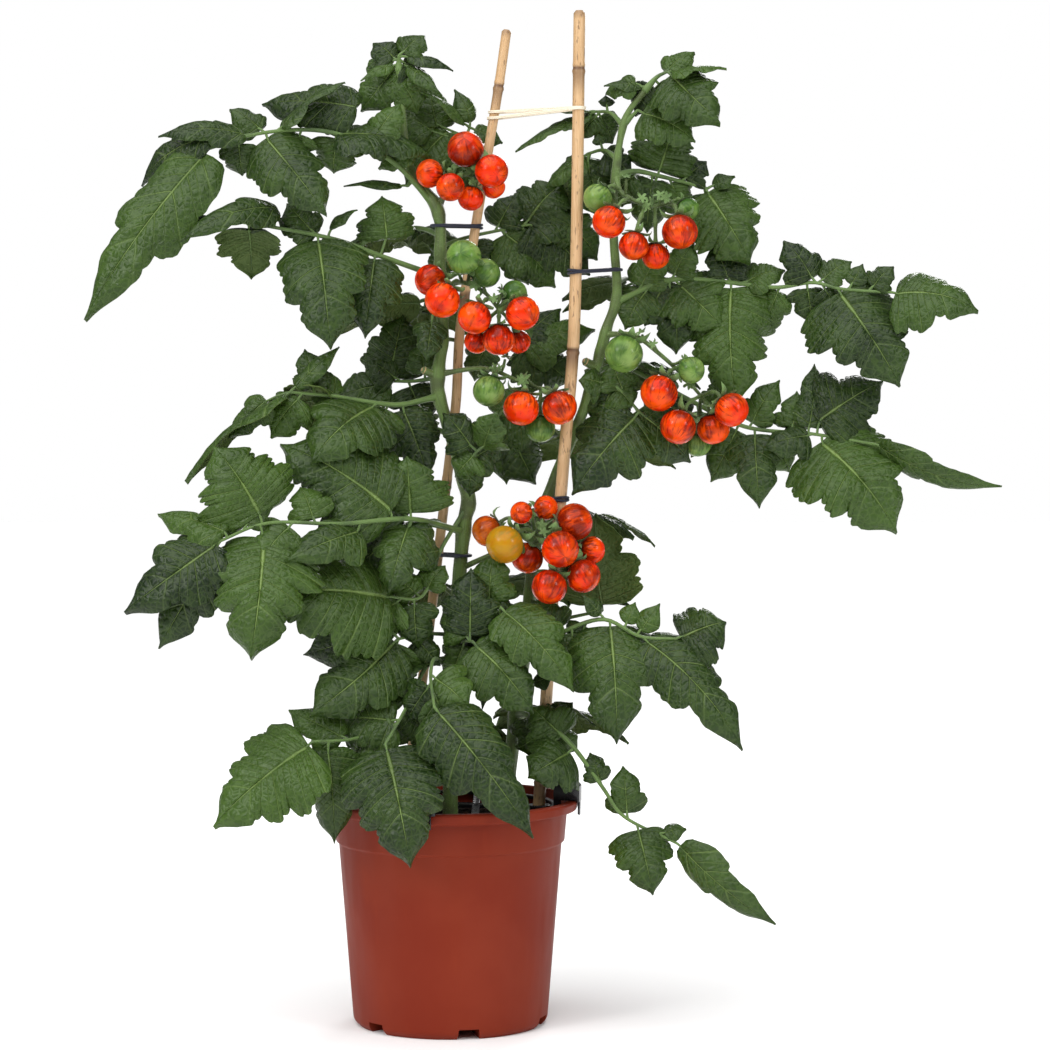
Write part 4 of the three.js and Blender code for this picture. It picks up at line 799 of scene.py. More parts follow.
def add_prism(bm: bmesh.types.BMesh, start: Sequence[Sequence[float]],
              end: Sequence[Sequence[float]]) -> None:
    """Adds a closed straight form between two sections.

    Args:
        bm: where it is added.
        start: the corners of the first section.
        end: as many corners of the last one.
    """
    first, last = ([bm.verts.new(corner) for corner in section] for section in (start, end))
    for index, corner in enumerate(first):
        after = (index + 1) % len(first)
        bm.faces.new((corner, first[after], last[after], last[index]))
    bm.faces.new(first[::-1])
    bm.faces.new(last)


def add_blocks(name: str, bm: bmesh.types.BMesh) -> Piece:
    """Returns a piece made of blocks in millimetres, with its faces turned outwards, and frees them."""
    bmesh.ops.recalc_face_normals(bm, faces=bm.faces)
    bmesh.ops.scale(bm, vec=(MM, MM, MM), verts=bm.verts)
    mesh = bpy.data.meshes.new(name)
    bm.to_mesh(mesh)
    bm.free()
    return add_object(name, mesh)


class Nodes:
    """A node tree, with a short way to add nodes to it."""

    def __init__(self, tree: bpy.types.NodeTree) -> None:
        """Takes up the tree."""
        self.tree = tree

    def node(self, kind: str, inputs: dict | None = None, **settings: object) -> bpy.types.Node:
        """Adds a node.

        Args:
            kind: its Blender type.
            inputs: a value or a socket for each input, by name or number.
            settings: its properties.

        Returns:
            The node.
        """
        node = self.tree.nodes.new(kind)
        for name, value in settings.items():
            setattr(node, name, value)
        for name, value in (inputs or {}).items():
            if isinstance(value, Socket):
                self.tree.links.new(value, node.inputs[name])
            else:
                node.inputs[name].default_value = value
        return node


class Scatter(Nodes):
    """A Geometry Nodes tree that sets small forms on a mesh. Its sizes and its finish are named inputs."""

    def __init__(self, name: str, sizes: Sequence[str], seed: int) -> None:
        """Starts the tree and spreads its points.

        Args:
            name: the tree's name.
            sizes: the names of its sizes beside the density.
            seed: the fixed seed of the points.
        """
        super().__init__(bpy.data.node_groups.new(name, "GeometryNodeTree"))
        sockets = [("Geometry", "Geometry"), ("Density", "Float"), *((size, "Float") for size in sizes),
                   ("Finish", "Material")]
        for socket, kind in sockets:
            self.tree.interface.new_socket(socket, in_out="INPUT", socket_type=f"NodeSocket{kind}")
        self.tree.interface.new_socket("Geometry", in_out="OUTPUT", socket_type="NodeSocketGeometry")
        self.inputs = self.node("NodeGroupInput").outputs
        spread = {"Mesh": self.inputs["Geometry"], "Density": self.inputs["Density"], "Seed": seed}
        self.spread = self.node("GeometryNodeDistributePointsOnFaces", spread).outputs

    def random(self, low: float | tuple, high: float | tuple, seed: int) -> Socket:
        """Returns a random number or vector between two limits, with a fixed seed."""
        if isinstance(low, tuple):
            limits = {"Min": low, "Max": high, "Seed": seed}
            return self.node("FunctionNodeRandomValue", limits, data_type="FLOAT_VECTOR").outputs[0]
        limits = {2: low, 3: high, "Seed": seed}
        return self.node("FunctionNodeRandomValue", limits, data_type="FLOAT").outputs[1]

    def finish(self, form: Socket, rotation: Socket, scale: Socket) -> None:
        """Sets the form on the points, makes it real and gives it its finish.

        Args:
            form: the form.
            rotation: how each copy is turned.
            scale: how large each copy is.
        """
        places = {"Points": self.spread["Points"], "Instance": form, "Rotation": rotation, "Scale": scale}
        copies = self.node("GeometryNodeInstanceOnPoints", places).outputs["Instances"]
        real = self.node("GeometryNodeRealizeInstances", {"Geometry": copies}).outputs["Geometry"]
        dressed = self.node("GeometryNodeSetMaterial", {"Geometry": real, "Material": self.inputs["Finish"]})
        self.node("NodeGroupOutput", {"Geometry": dressed.outputs["Geometry"]})

    def run(self, name: str, mesh: bpy.types.Mesh, values: dict) -> Piece:
        """Runs the tree on a mesh and keeps the result as a plain mesh.

        Args:
            name: the new piece's name.
            mesh: the mesh that the tree is given.
            values: the tree's inputs, by name.

        Returns:
            The new piece.
        """
        piece = add_object(name, mesh)
        modifier = piece.modifiers.new("Grow", "NODES")
        modifier.node_group = self.tree
        for item in self.tree.interface.items_tree:
            if item.in_out == "INPUT" and item.name in values:
                modifier[item.identifier] = values[item.name]
        keep_result(piece, modifier).name = name
        return piece


class Graph(Nodes):
    """The nodes of one procedural material, with short ways to add the usual ones."""

    def __init__(self, name: str, roughness: float = 0.5, **sockets: float) -> None:
        """Starts a material.

        Args:
            name: the material's name.
            roughness: the shader's roughness.
            sockets: other values of the shader, by socket name with _ for a space.
        """
        self.material = bpy.data.materials.new(name)
        self.material.use_nodes = True
        super().__init__(self.material.node_tree)
        self.shader = self.tree.nodes["Principled BSDF"]
        self.shader.inputs["Roughness"].default_value = roughness
        for socket, value in sockets.items():
            self.shader.inputs[socket.replace("_", " ")].default_value = value
        self.place = self.node("ShaderNodeTexCoord").outputs["Object"]

    def math(self, operation: str, first: object, second: object = 0.0) -> Socket:
        """Returns the result of one sum on two values."""
        return self.node("ShaderNodeMath", {0: first, 1: second}, operation=operation).outputs[0]

    def plus(self, first: object, second: object) -> Socket:
        """Returns two values added."""
        return self.math("ADD", first, second)

    def times(self, first: object, second: object) -> Socket:
        """Returns two values multiplied."""
        return self.math("MULTIPLY", first, second)

    def most(self, first: object, second: object) -> Socket:
        """Returns the larger of two values."""
        return self.math("MAXIMUM", first, second)

    def off(self, value: object, middle: float) -> Socket:
        """Returns how far a value lies from a middle."""
        return self.math("ABSOLUTE", self.math("SUBTRACT", value, middle))

    def step(self, value: object, low: float, high: float, start: float = 0.0, end: float = 1.0) -> Socket:
        """Returns a value that goes smoothly from start at low to end at high."""
        inputs = {"Value": value, "From Min": low, "From Max": high, "To Min": start, "To Max": end}
        return self.node("ShaderNodeMapRange", inputs, interpolation_type="SMOOTHSTEP").outputs["Result"]

    def mix(self, share: object, first: object, second: object) -> Socket:
        """Returns the blend of two colours."""
        return self.node("ShaderNodeMix", {0: share, 6: first, 7: second}, data_type="RGBA").outputs[2]

    def move(self, operation: str, first: Socket, second: object) -> Socket:
        """Returns the result of one sum on two vectors."""
        return self.node("ShaderNodeVectorMath", {0: first, 1: second}, operation=operation).outputs[0]

    def noise(self, scale: float, detail: float = 3.0, vector: Socket | None = None,
              stretch: tuple[float, float, float] | None = None) -> Socket:
        """Returns cloudy noise.

        Args:
            scale: cells to the metre, or to the unit of the vector.
            detail: how fine it goes.
            vector: where it is read; the object's own place if left out.
            stretch: factors on the three axes.

        Returns:
            The noise, about 0 to 1.
        """
        source = vector or self.place
        if stretch:
            source = self.node("ShaderNodeMapping", {"Vector": source, "Scale": stretch}).outputs[0]
        inputs = {"Vector": source, "Scale": scale, "Detail": detail}
        return self.node("ShaderNodeTexNoise", inputs).outputs[0]

    def warped(self, scale: float, amount: float) -> Socket:
        """Returns the object's own place, shifted by cloudy noise.

        Args:
            scale: the noise's cells to the metre.
            amount: the most that it shifts, in metres.

        Returns:
            The shifted place.
        """
        cloud = self.node("ShaderNodeTexNoise", {"Vector": self.place, "Scale": scale}).outputs["Color"]
        return self.move("ADD", self.place, self.move("MULTIPLY", cloud, (amount,) * 3))

    def uv(self) -> tuple[Socket, Socket, Socket]:
        """Returns the piece's own map as a vector, and its two parts."""
        vector = self.node("ShaderNodeUVMap", uv_map="UVMap").outputs["UV"]
        parts = self.node("ShaderNodeSeparateXYZ", {"Vector": vector})
        return vector, parts.outputs["X"], parts.outputs["Y"]

    def tone(self) -> Socket:
        """Returns the piece's own shade."""
        return self.node("ShaderNodeAttribute", attribute_name="tone").outputs["Fac"]

    def finish(self, colour: Socket, height: Socket, strength: float, distance: float) -> Material:
        """Joins the colour to the shader and bends its normal by a height.

        Args:
            colour: the base colour.
            height: the height.
            strength: how much of it shows.
            distance: the height in metres of a height of 1.

        Returns:
            The material.
        """
        self.tree.links.new(colour, self.shader.inputs["Base Color"])
        inputs = {"Height": height, "Strength": strength, "Distance": distance}
        bump = self.node("ShaderNodeBump", inputs)
        self.tree.links.new(bump.outputs["Normal"], self.shader.inputs["Normal"])
        return self.material


@dataclass(frozen=True)
class LeafFinish:
    """One face of a leaf: green cushions between paler veins, with fine netting.

    A vein is (half its width on the blade's map, strength), and the rib is where its edge starts and ends.
    Scales are cells to the metre.
    """

    name: str
    dark: Colour
    light: Colour
    vein: Colour
    vein_share: float
    roughness: float
    relief: float
    shine: float = 0.28
    main_vein: tuple[float, float] = (0.036, 0.9)
    side_vein: tuple[float, float] = (0.03, 0.7)
    small_vein: tuple[float, float] = (0.05, 0.5)
    rib: tuple[float, float] = (0.005, 0.028)
    cloud_scale: float = 26.0
    cell_scale: float = 190.0
    warp_scale: float = 110.0
    warp: float = 0.005
    grain_scale: float = 150.0
    cushion_width: float = 0.42
    cushion_height: float = 0.42

    def veins(self, graph: Graph) -> Socket:
        """Returns how strongly a vein shows at each place of the blade."""
        _, place, across = graph.uv()
        share = graph.math("FRACT", place)
        half = graph.math("FRACT", graph.times(place, 2.0))
        off_rib = graph.off(across, 0.5)
        to_tip = graph.step(place, MOST_LOBES - 0.8, MOST_LOBES - 0.2, 1.0, 0.25)
        fade = graph.times(graph.step(off_rib, 0.0, 0.5, 1.0, 0.45), to_tip)
        veins = graph.step(off_rib, *self.rib, 1.0, 0.0)
        for value, middle, (width, strength) in ((share, VEIN_PLACE, self.main_vein),
                                                 (share, VEIN_PLACE - 0.5, self.side_vein),
                                                 (half, 2.0 * VEIN_PLACE - 0.5, self.small_vein)):
            line = graph.step(graph.off(value, middle), 0.0, width, strength, 0.0)
            veins = graph.most(veins, graph.times(line, fade))
        return veins

    def material(self) -> Material:
        """Returns the material."""
        graph = Graph(self.name, self.roughness, Specular_IOR_Level=self.shine)
        cloud = graph.noise(self.cloud_scale, 4.0)
        veins = graph.times(self.veins(graph), graph.step(cloud, 0.3, 0.65, 0.55, 1.1))
        source = {"Vector": graph.warped(self.warp_scale, self.warp), "Scale": self.cell_scale}
        cells = graph.node("ShaderNodeTexVoronoi", source, feature="DISTANCE_TO_EDGE").outputs["Distance"]
        net = graph.step(cells, 0.0, 0.14, 0.12, 0.0)
        grain = graph.noise(self.grain_scale, 3.0)
        shade = graph.plus(graph.times(cloud, 0.7), graph.times(graph.tone(), 0.5))
        shade = graph.plus(shade, graph.times(grain, 0.25))
        colour = graph.mix(graph.step(shade, 0.3, 1.18), self.dark, self.light)
        colour = graph.mix(graph.times(graph.most(veins, net), self.vein_share), colour, self.vein)
        cushions = graph.times(graph.step(cells, 0.0, self.cushion_width), self.cushion_height)
        height = graph.math("SUBTRACT", graph.plus(graph.times(grain, 0.5), cushions), veins)
        return graph.finish(colour, height, 1.0, self.relief)


@dataclass(frozen=True)
class StemFinish:
    """A green stem or stalk with fine lengthwise ridges, blotched where it is old."""

    name: str
    young: Colour
    old: Colour
    roughness: float
    blotch_scale: float = 60.0
    ridge_scale: float = 9.0
    ridge_stretch: tuple[float, float, float] = (3.0, 0.6, 1.0)
    ridge_height: float = 0.0008

    def material(self) -> Material:
        """Returns the material."""
        graph = Graph(self.name, self.roughness, Sheen_Weight=0.25, Sheen_Roughness=0.4)
        ridges = graph.noise(self.ridge_scale, 2.0, graph.uv()[0], self.ridge_stretch)
        blotch = graph.noise(self.blotch_scale, 4.0)
        colour = graph.mix(graph.step(blotch, 0.42, 0.68), self.young, self.old)
        colour = graph.mix(graph.step(ridges, 0.45, 0.7, 0.0, 0.5), colour, self.old)
        return graph.finish(colour, ridges, 0.5, self.ridge_height)


@dataclass(frozen=True)
class FruitFinish:
    """A tomato's glossy skin: flesh colour, a second cast, dark streaks and specks from its crown, and
    painted shade in the streaks' colour over the shoulders round the crown and over large random patches.
    """

    name: str
    flesh: Colour
    cast: Colour
    # The streaks' colour, which also serves as the colour of the painted shade
    streak_and_shade: Colour
    streak_share: float
    glow: tuple[float, float, float] = (1.0, 0.35, 0.15)
    streak_stretch: tuple[float, float, float] = (38.0, 5.0, 1.0)
    mottle_and_shade_stretch: tuple[float, float, float] = (5.0, 2.6, 1.0)
    speck_scale: float = 900.0
    patch_scale: float = 70.0
    map_shift: float = 40.0
    speck_height: float = 0.0003

    def material(self) -> Material:
        """Returns the material."""
        graph = Graph(self.name, 0.24, Coat_Weight=0.06, Coat_Roughness=0.05, Subsurface_Weight=0.12,
                      Subsurface_Scale=0.003, Specular_IOR_Level=0.18)
        graph.shader.inputs["Subsurface Radius"].default_value = self.glow
        vector, _, down = graph.uv()
        tone = graph.tone()
        shift = graph.node("ShaderNodeCombineXYZ", {"Z": graph.times(tone, self.map_shift)}).outputs[0]
        shifted = graph.move("ADD", vector, shift)
        streaks = graph.noise(1.0, 5.0, shifted, self.streak_stretch)
        mottle_and_shade_cloud = graph.noise(1.0, 3.0, shifted, self.mottle_and_shade_stretch)
        specks = graph.noise(self.speck_scale, 2.0)
        patches = graph.noise(self.patch_scale, 3.0)
        from_crown = graph.step(down, 0.1, 0.85, 0.16, -0.12)
        dark = graph.plus(graph.times(tone, 0.1), graph.times(mottle_and_shade_cloud, 0.3))
        mark = graph.step(graph.plus(graph.plus(streaks, from_crown), dark), 0.6, 0.84)
        mark = graph.times(mark, graph.step(specks, 0.3, 0.5, 0.55, 1.0))
        colour = graph.mix(graph.step(patches, 0.4, 0.62), self.flesh, self.cast)
        # Painted shade: the skin is darkened towards the streaks' colour over the shoulders round the crown
        # and over large random patches of the mottle noise
        painted_crown_shade = graph.step(down, 0.0, 0.4, 0.7, 0.0)
        painted_shade_patches = graph.step(graph.plus(mottle_and_shade_cloud, graph.times(tone, 0.16)), 0.5, 0.78, 0.0, 0.62)
        colour = graph.mix(graph.most(painted_crown_shade, painted_shade_patches), colour, self.streak_and_shade)
        colour = graph.mix(graph.times(mark, self.streak_share), colour, self.streak_and_shade)
        return graph.finish(colour, graph.times(specks, 0.4), 0.12, self.speck_height)


@dataclass(frozen=True)
class BambooFinish:
    """A bamboo cane: straw with lengthwise fibres, brown specks, and dark rings at its joints."""

    name: str
    straw: Colour
    shade: Colour
    ring: Colour
    fibre_scale: float = 6.0
    fibre_stretch: tuple[float, float, float] = (9.0, 0.8, 1.0)
    blotch_scale: float = 45.0
    speck_scale: float = 420.0
    fibre_height: float = 0.0005

    def material(self) -> Material:
        """Returns the material."""
        graph = Graph(self.name, 0.42, Coat_Weight=0.15, Coat_Roughness=0.3)
        fibres = graph.noise(self.fibre_scale, 5.0, graph.uv()[0], self.fibre_stretch)
        blotch = graph.noise(self.blotch_scale, 4.0, None, (1.0, 1.0, 0.35))
        specks = graph.noise(self.speck_scale, 2.0, None, (1.0, 1.0, 0.3))
        colour = graph.mix(graph.step(fibres, 0.3, 0.7), self.straw, self.shade)
        colour = graph.mix(graph.step(blotch, 0.5, 0.7, 0.0, 0.6), colour, self.shade)
        colour = graph.mix(graph.step(specks, 0.6, 0.7, 0.0, 0.6), colour, self.ring)
        colour = graph.mix(graph.tone(), colour, self.ring)
        return graph.finish(colour, fibres, 0.35, self.fibre_height)


@dataclass(frozen=True)
class PlasticFinish:
    """Moulded plastic with a faint grain, scuffs and a film of dust."""

    name: str
    colour: Colour
    scuffed: Colour
    roughness: float
    grain: float
    shine: float
    cloud_scale: float = 14.0
    scuff_scale: float = 55.0
    grain_scale: float = 1400.0
    grain_height: float = 0.0006

    def material(self) -> Material:
        """Returns the material."""
        graph = Graph(self.name, self.roughness, Specular_IOR_Level=self.shine)
        cloud = graph.noise(self.cloud_scale, 4.0)
        scuffs = graph.noise(self.scuff_scale, 6.0, None, (1.0, 1.0, 0.22))
        grain = graph.noise(self.grain_scale, 2.0)
        colour = graph.mix(graph.step(cloud, 0.35, 0.7, 0.0, 0.5), self.colour, self.scuffed)
        colour = graph.mix(graph.step(scuffs, 0.58, 0.75, 0.0, 0.4), colour, self.scuffed)
        gloss = graph.step(scuffs, 0.3, 0.8, self.roughness - 0.06, self.roughness + 0.14)
        graph.tree.links.new(gloss, graph.shader.inputs["Roughness"])
        height = graph.plus(graph.times(grain, 0.3), cloud)
        return graph.finish(colour, height, self.grain, self.grain_height)


@dataclass(frozen=True)
class SoilFinish:
    """Damp potting soil."""

    name: str
    wet: Colour
    dry: Colour
    clod_scale: float = 120.0
    fibre_scale: float = 420.0
    clod_height: float = 0.004

    def material(self) -> Material:
        """Returns the material."""
        graph = Graph(self.name, 0.95, Specular_IOR_Level=0.2)
        clods = graph.noise(self.clod_scale, 8.0)
        fibre = graph.noise(self.fibre_scale, 4.0)
        colour = graph.mix(graph.step(clods, 0.4, 0.7), self.wet, self.dry)
        return graph.finish(colour, graph.plus(clods, fibre), 1.0, self.clod_height)


@dataclass(frozen=True)
class CordFinish:
    """A cord's surface with lengthwise ribs or a twist.

    The twist is in turns to the unit of the cord's own map, and the ribs' phase in radians round it.
    """

    name: str
    colour: Colour
    shade: Colour
    roughness: float
    twist: float
    ribs: float = 18.85
    rib_height: float = 0.0004

    def material(self) -> Material:
        """Returns the material."""
        graph = Graph(self.name, self.roughness)
        _, around, along = graph.uv()
        turn = graph.times(graph.plus(around, graph.times(along, self.twist)), self.ribs)
        rib = graph.step(graph.math("SINE", turn), -1.0, 1.0)
        colour = graph.mix(graph.times(rib, graph.noise(240.0, 3.0)), self.colour, self.shade)
        return graph.finish(colour, rib, 0.6, self.rib_height)


LEAF_TOP = LeafFinish("leaf_upper_face", linear(12, 30, 7), linear(62, 88, 30), linear(134, 158, 88), 0.6,
                      0.38, 0.0014)
LEAF_UNDER = LeafFinish("leaf_underside", linear(62, 82, 36), linear(92, 110, 52), linear(140, 156, 96), 0.6,
                        0.6, 0.0015)
STALK = StemFinish("leaf_stalk", linear(94, 122, 58), linear(68, 92, 42), 0.5)
STEM = StemFinish("main_stem", linear(94, 120, 56), linear(70, 84, 40), 0.5)
CUT_END = StemFinish("cut_end", linear(198, 178, 130), linear(150, 122, 80), 0.8)
CALYX = StemFinish("calyx", linear(112, 142, 80), linear(80, 110, 52), 0.6)
HAIR = StemFinish("stem_hair", linear(205, 220, 175), linear(190, 205, 160), 0.5)
# The third colour of each skin is its streaks' colour, also used for its painted shade
FRUITS = {
    Ripeness.RIPE: FruitFinish("tomato_skin_ripe", linear(232, 48, 2), linear(242, 82, 8),
                               linear(104, 16, 3), 0.8),
    Ripeness.ORANGE: FruitFinish("tomato_skin_orange", linear(212, 88, 16), linear(216, 112, 28),
                                 linear(122, 44, 10), 0.6),
    Ripeness.YELLOW: FruitFinish("tomato_skin_yellow", linear(180, 130, 18), linear(178, 118, 18),
                                 linear(112, 110, 34), 0.45),
    Ripeness.GREEN: FruitFinish("tomato_skin_green", linear(100, 134, 58), linear(126, 152, 80),
                                linear(44, 78, 30), 0.7),
}
BAMBOO = BambooFinish("bamboo", linear(222, 186, 142), linear(198, 158, 110), linear(88, 56, 34))
TERRACOTTA = PlasticFinish("terracotta_plastic", linear(120, 38, 18), linear(134, 52, 30), 0.5, 0.2, 0.14)
BLACK = PlasticFinish("black_plastic", linear(16, 16, 19), linear(36, 36, 42), 0.28, 0.15, 0.5)
SOIL = SoilFinish("potting_soil", linear(32, 24, 19), linear(66, 50, 38))
RUBBER = CordFinish("cream_rubber", linear(246, 236, 214), linear(222, 206, 176), 0.5, 0.0)
TWINE = CordFinish("dark_tie", linear(34, 38, 54), linear(66, 72, 92), 0.45, 24.0)


class LeafSlot(IntEnum):
    """The material slots of a leaf."""

    UPPER = 0
    UNDER = 1
    STALK = 2


@dataclass(frozen=True)
class Blade:
    """One leaflet: a thin lobed blade, arched along its midrib and sagging and waving to its edges.

    Places run from 0 at the base to 1 at the tip, and shares from 0 at the midrib to 1 at the edge.
    """

    base: Array
    tip: Array
    width: float
    facing: Array
    seed: int
    thickness: float = 0.7
    columns: tuple[float, ...] = (0.06, 0.18, 0.36, 0.56, 0.78, 1.0)
    lobe_widths: tuple[float, ...] = (20.0, 40.0, 64.0)
    large_width: float = 44.0
    large_rows: int = 14
    small_rows: int = 10
    first_lobe: float = 0.02
    lobed_part: float = 0.84
    vein_slant: float = 0.19
    vein_bow: float = 0.3
    side_bend: float = 0.08
    rib_radii: tuple[float, float] = (0.95, 0.3)
    rib_depth: float = 0.35
    cushion_height: float = 0.035
    groove_width: float = 0.09
    ruffle_height: float = 0.5
    curl_start: float = 0.72

    @property
    def lobes(self) -> int:
        """How many lobes each side has."""
        return 1 + sum(self.width >= width * BREADTH for width in self.lobe_widths)

    def side_seed(self, sign: int) -> int:
        """Returns the seed of one side's cut."""
        return self.seed + 20 * (sign + 2)

    def envelope(self, along: float) -> float:
        """Returns the share of the half width that a whole leaflet has at a place."""
        return min(1.0, 0.72 + 1.6 * along) * min(1.0, ((1.0 - along) / 0.78) ** 0.82)

    def corners(self, sign: int) -> tuple[Array, Array]:
        """Places the points of the lobes and the notches between them on one side.

        Args:
            sign: -1 for the left side, 1 for the right one.

        Returns:
            The points and the notches as (place along the midrib, share of the half width).
        """
        seed = self.side_seed(sign)
        cut = 0.2 + 0.16 * chance(self.seed + 14)
        pitch = self.lobed_part / self.lobes
        slip = 0.2 * pitch * (chance(seed + 9) - 0.5)
        points = []
        notches = [(0.0, 1.5 / self.width)]
        for lobe in range(self.lobes):
            start = self.first_lobe + pitch * lobe
            reach = 1.06 - 0.14 * chance(seed + lobe)
            points.append((start + 0.5 * pitch + slip, self.envelope(start + 0.26 * pitch) * reach))
            if lobe < self.lobes - 1:
                depth = 1.0 - 0.55 * cut
                notches.append((start + 0.9 * pitch + slip, self.envelope(start + pitch) * depth))
        notches.append((1.0, 0.0))
        return np.array(points), np.array(notches)

    def veins(self) -> tuple[Array, Array]:
        """Returns the shares of the rows at which the main veins leave the rib, and their places on it."""
        rows = (np.arange(self.lobes) + VEIN_PLACE) / self.lobes
        points = (self.corners(-1)[0][:, 0] + self.corners(1)[0][:, 0]) / 2
        starts = np.maximum(points - self.vein_slant, 0.03)
        return np.concatenate(([0.0], rows, [1.0])), np.concatenate(([0.0], starts, [1.0]))

    def edge(self, sign: int, rows: int) -> Array:
        """Draws one side's edge, from base to tip.

        Args:
            sign: -1 for the left side, 1 for the right one.
            rows: how many steps each lobe gets.

        Returns:
            (place along the midrib, share of the half width) at each step.
        """
        points, notches = self.corners(sign)
        seed = self.side_seed(sign)
        places = []
        for lobe in range(self.lobes):
            low, point, high = notches[lobe], points[lobe], notches[lobe + 1]
            last = lobe == self.lobes - 1
            depth = 0.06 + 0.05 * chance(seed + lobe + 60)
            teeth = 2.6 + 1.2 * chance(seed + lobe + 70)
            for step in range(rows + last):
                share = step / rows
                tooth = depth * (abs(math.sin(teeth * math.pi * share)) ** 0.6 - 0.55)
                tooth *= math.sin(math.pi * share) ** 0.5 if 0.0 < share < 1.0 else 0.0
                rise = min(share / VEIN_PLACE, 1.0)
                fall = max((share - VEIN_PLACE) / (1.0 - VEIN_PLACE), 0.0)
                if share < VEIN_PLACE:
                    along = low[0] + (point[0] - low[0]) * rise
                    wide = low[1] + (point[1] - low[1]) * math.sin(0.5 * math.pi * rise) ** 0.8
                    if lobe == 0:
                        along -= 0.09 * math.sin(math.pi * rise) * (1.0 - rise)
                elif last:
                    along = point[0] + (1.0 - point[0]) * fall
                    wide = point[1] * (0.6 * (0.5 + 0.5 * math.cos(math.pi * fall)) + 0.4 * (1.0 - fall))
                    tooth *= 1.0 - fall
                else:
                    along = point[0] + (high[0] - point[0]) * math.sin(0.5 * math.pi * fall) ** 0.8
                    wide = high[1] + (point[1] - high[1]) * math.cos(0.5 * math.pi * fall) ** 0.8
                places.append((along, wide + tooth))
        places[-1] = (1.0, 0.0)
        return np.array(places)

    def add(self, shell: Shell) -> None:
        """Adds the blade and the rib under it to a shell."""
        axis = self.tip - self.base
        length = float(np.linalg.norm(axis))
        along = axis / length
        normal = unit(self.facing - along * np.dot(self.facing, along))
        side = np.cross(along, normal)
        rows = self.large_rows if self.width > self.large_width else self.small_rows
        count = rows * self.lobes + 1
        places = shares(count)
        inner = np.interp(places, *self.veins())
        columns = ([(-1, share) for share in reversed(self.columns)] + [(1, 0.0)]
                   + [(1, share) for share in self.columns])
        edges = {sign: self.edge(sign, rows) for sign in (-1, 1)}
        place = np.empty((count, len(columns)))
        wide = np.empty_like(place)
        for column, (sign, share) in enumerate(columns):
            edge = edges[sign]
            bow = self.vein_bow * share * (1.0 - share) * (edge[:, 0] - inner)
            place[:, column] = inner + (edge[:, 0] - inner) * share - bow
            wide[:, column] = sign * edge[:, 1] * share
        sign, share = np.array(columns).T[:, None, :]
        vein = (places * self.lobes + MOST_LOBES - self.lobes)[:, None]
        across = wide * self.width / 2
        height = self.form(place, wide, length) + self.relief(vein, share, sign, place * length, across)
        bend = self.side_bend * (chance(self.seed + 19) - 0.5) * length * 4.0 * place * (1.0 - place)
        grid = (self.base + axis * place[..., None] + side * (across + bend)[..., None]
                + normal * height[..., None])
        self.add_sheet(shell, grid, normal, vein, share * sign)
        line = grid[:-2:2, len(self.columns)] - normal * self.rib_depth
        radii = np.linspace(*self.rib_radii, len(line)) * (1.0 if self.width > 30 else 0.7)
        add_tube(shell, line, radii, LeafSlot.STALK, 6, chance(self.seed))

    def form(self, place: Array, wide: Array, length: float) -> Array:
        """Returns how high the blade lies over its chord: its arch, its sag and its waves."""
        arch = 0.06 + 0.08 * chance(self.seed + 11)
        sag = 0.1 + 0.3 * chance(self.seed + 12)
        wave = (0.08 + 0.1 * chance(self.seed + 13)) * self.width * 0.5
        phase = 6.0 * chance(self.seed + 15)
        waves = wave * np.abs(wide) * np.sin(9.0 * place + phase + np.sign(wide))
        return length * arch * 4.0 * place * (1.0 - place) - sag * wide ** 2 * self.width * 0.5 + waves

    def relief(self, vein: Array, share: Array, sign: Array, along: Array, across: Array) -> Array:
        """Returns the cushions between the veins, the groove of the midrib and the curl of the edge.

        Args:
            vein: the place in lobes.
            share: the share of the way from the midrib to the edge.
            sign: the side.
            along: millimetres along the midrib.
            across: millimetres across it.

        Returns:
            Heights in millimetres.
        """
        off_main = np.abs(np.sin(np.pi * (vein - VEIN_PLACE)))
        off_side = np.abs(np.sin(np.pi * (vein - VEIN_PLACE + 0.5)))
        cushion = np.minimum(off_main, 0.35 + 0.65 * off_side) ** 0.7
        cushion = cushion * np.sqrt(share) * (1.0 - 0.75 * share ** 2)
        swell = self.cushion_height * self.width * (cushion - 0.4 * bulge(share, self.groove_width))
        swell *= np.clip((MOST_LOBES - vein) / 0.7, 0.0, 1.0)
        shift = 10.0 * chance(self.seed + 16)
        ruffle = self.ruffle_height * np.sin(along / 1.9 + shift + 1.3 * np.sin(across / 5.0))
        ruffle *= np.sin(across / 1.8 + shift * sign)
        curl = (0.03 + 0.07 * chance(self.seed + 17)) * self.width * smooth_step(self.curl_start, 1.0, share)
        return swell + ruffle * np.sqrt(share) - curl

    def add_sheet(self, shell: Shell, grid: Array, normal: Array, vein: Array, across: Array) -> None:
        """Gives the blade's grid its thickness and adds it.

        Args:
            shell: where it is added.
            grid: rows x columns x 3.
            normal: the way the blade faces.
            vein: the place in lobes of each row.
            across: the signed share of the way to the edge of each column.
        """
        normals = np.cross(np.gradient(grid, axis=1), np.gradient(grid, axis=0))
        weak = np.linalg.norm(normals, axis=-1, keepdims=True) < 1e-3
        half = unit(np.where(weak, normal, normals)) * self.thickness / 2
        rings = np.concatenate((grid + half, (grid - half)[:, ::-1]), axis=1)
        rows, columns = grid.shape[:2]
        flat = np.stack(np.broadcast_arrays(vein, 0.5 + 0.5 * across), axis=-1)
        uv = np.concatenate((flat, flat[:, ::-1], flat[:, :1]), axis=1)
        row_slots = [LeafSlot.UPPER] * columns + [LeafSlot.UNDER] * columns
        shell.grid(rings, uv, np.array(row_slots * (rows + 1)), chance(self.seed + 18))


